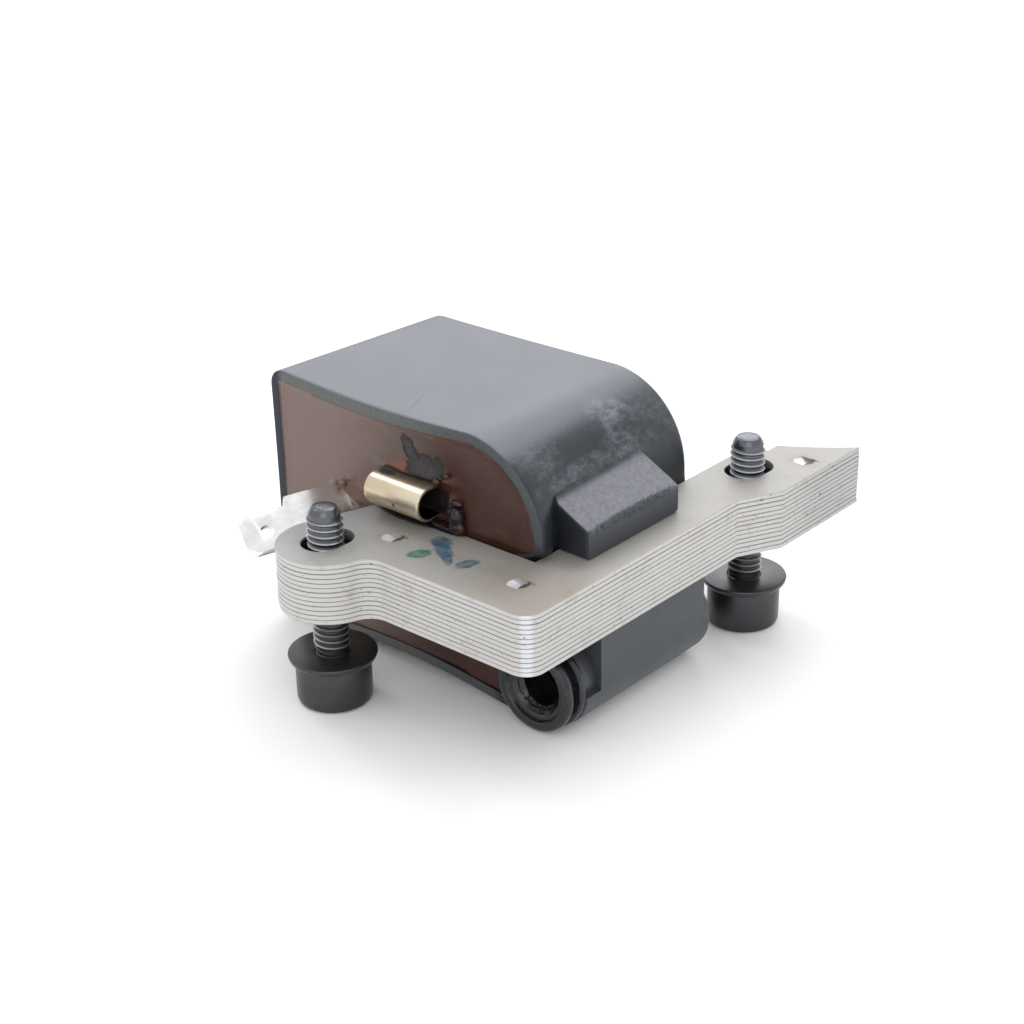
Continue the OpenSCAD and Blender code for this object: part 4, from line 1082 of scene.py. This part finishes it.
def buildScrews():
    tree = threadTree(blackSteel)
    length = screw["threadHigh"] - screw["threadLow"]
    low, reach = screw["body"][0][1], screw["keyAcross"] / sqrt(3)
    start, deep, rim = low - 1, low + screw["keyDepth"], low + screw["mouthDepth"]
    keyProfile = [(0, start), (reach, start), (reach, deep), (0, deep + screw["keyTip"])]
    mouthProfile = [(0, start), (reach + 1, start), (reach - screw["keyMouth"], rim), (0, rim)]
    for side, (x, y) in screwSpots.items():
        piece = lathe("screw" + side.title(), screw["body"], (x, y, 0))
        key = lathe("key", keyProfile, (x, y, 0), "z", 6)
        mouth = lathe("mouth", mouthProfile, (x, y, 0), "z", 48)
        carve(piece, "DIFFERENCE", [key, mouth])
        runTree(piece, tree, {
            "Per turn": screw["perTurn"], "Turns": length / screw["pitch"], "Radius": screw["root"] * mm,
            "Length": length * mm, "Ridge": screw["ridge"] * mm, "Fade in": screw["fadeIn"],
            "Fade out": screw["fadeOut"], "Place": place(x, y, screw["threadLow"])})
        finishPiece(piece, "screw_" + side, blackSteel, ["screw_" + side], 30)
        ring = lathe("washer" + side.title(), washer["profile"], (x, y, 0))
        finishPiece(ring, "washer_" + side, blackSteel, ["washer_" + side], 30)


buildScrews()


# What lies in the potting keeps its CAD solid

innerLooks = dict(
    primary_bobbin=nylon, secondary_bobbin=nylon, primary_winding=enamel, secondary_winding=enamel,
    circuit_board=laminate, film_capacitor=capCase, power_transistor=epoxy, clamp_diode=epoxy,
    resistors=resistorPaint, primary_leads=copper, ground_wire=copper, kill_wire=copper, ht_wire=copper,
    ht_contact_spike=brass)
for name, look in innerLooks.items():
    for slot in cadNodes[name].material_slots:
        slot.material = look
print("inner pieces dressed")


# Floor, light and camera

studio = dict(
    floorSize=3.0, floorGap=0.02, near=(0.96, 0.955, 0.94), far=(1.0, 1.0, 1.0), fade=(0.08, 0.22),
    ambient=1.02, sky=(0.97, 0.985, 1.0, 1), tint=(0.93, 0.96, 1.0),
    lamps=dict(
        backLight=dict(bearing=38, up=25, away=1.2, size=(0.7, 0.35), radiance=2.5),
        highLight=dict(bearing=16, up=52, away=1.2, size=(0.9, 0.6), radiance=2.3),
        frontFill=dict(bearing=221, up=34, away=1.4, size=(1.0, 1.0), radiance=1.0),
        glint=dict(bearing=85, up=50, away=1.2, size=(0.22, 0.22), radiance=10.0)))
view = dict(
    eye=(140.8, -160.94, 116.65), turn=41.614, down=25.562, roll=-1.18, focal=2036.9 / 1024, sensor=36,
    clip=(0.01, 20))


def buildFloor():
    half, level = studio["floorSize"] / 2, cadBox[0].z - studio["floorGap"] * mm
    corners = [(x * half, y * half, level) for x, y in ((-1, -1), (1, -1), (1, 1), (-1, 1))]
    mesh = bpy.data.meshes.new("floor")
    mesh.from_pydata(corners, [], [(0, 1, 2, 3)])
    floor = addPiece("floor", mesh)
    material, coords = startMaterial("paleFloor", {"Roughness": 0.85, "IOR": 1.3})
    base = paint(studio["near"], (studio["far"], between(lengthOf(coords), *studio["fade"])))
    mesh.materials.append(finishLook(material, base))


def buildWorld():
    world = bpy.data.worlds.new("studio")
    world.use_nodes = True
    tree = world.node_tree
    tree.nodes.clear()
    rays = tree.nodes.new("ShaderNodeLightPath").outputs
    seen = most(rays["Is Camera Ray"], most(rays["Is Glossy Ray"], rays["Is Transmission Ray"]))
    plain, white = (addNode(tree, "ShaderNodeBackground", {"Color": shade, "Strength": strength})
                    for shade, strength in ((studio["sky"], studio["ambient"]), ((1, 1, 1, 1), 1.0)))
    both = addNode(tree, "ShaderNodeMixShader", {0: seen, 1: plain, 2: white})
    addNode(tree, "ShaderNodeOutputWorld", {0: both})
    scene.world = world


def addLamp(name, setting):
    wide, tall = setting["size"]
    lamp = bpy.data.lights.new(name, "AREA")
    lamp.shape = "RECTANGLE"
    lamp.size, lamp.size_y = wide, tall
    lamp.energy = setting["radiance"] * pi * wide * tall
    lamp.color = studio["tint"]
    a, b = radians(setting["bearing"]), radians(setting["up"])
    aim = Vector((-sin(a) * cos(b), cos(a) * cos(b), sin(b)))
    turn = aim.to_track_quat("Z", "Y").to_matrix().to_4x4()
    addPiece(name, lamp).matrix_world = Matrix.Translation(aim * setting["away"]) @ turn


def addCamera():
    camera = bpy.data.cameras.new("camera")
    camera.sensor_width = view["sensor"]
    camera.lens = view["focal"] * view["sensor"]
    camera.clip_start, camera.clip_end = view["clip"]
    scene.camera = addPiece("camera", camera)
    turn = Matrix.Rotation(radians(view["turn"]), 4, "Z")
    tip = Matrix.Rotation(radians(90 - view["down"]), 4, "X")
    roll = Matrix.Rotation(radians(view["roll"]), 4, "Z")
    scene.camera.matrix_world = Matrix.Translation(place(*view["eye"])) @ turn @ tip @ roll


buildFloor()
buildWorld()
for name, setting in studio["lamps"].items():
    addLamp(name, setting)
addCamera()
scene.view_settings.view_transform = "Standard"
print("studio ready")
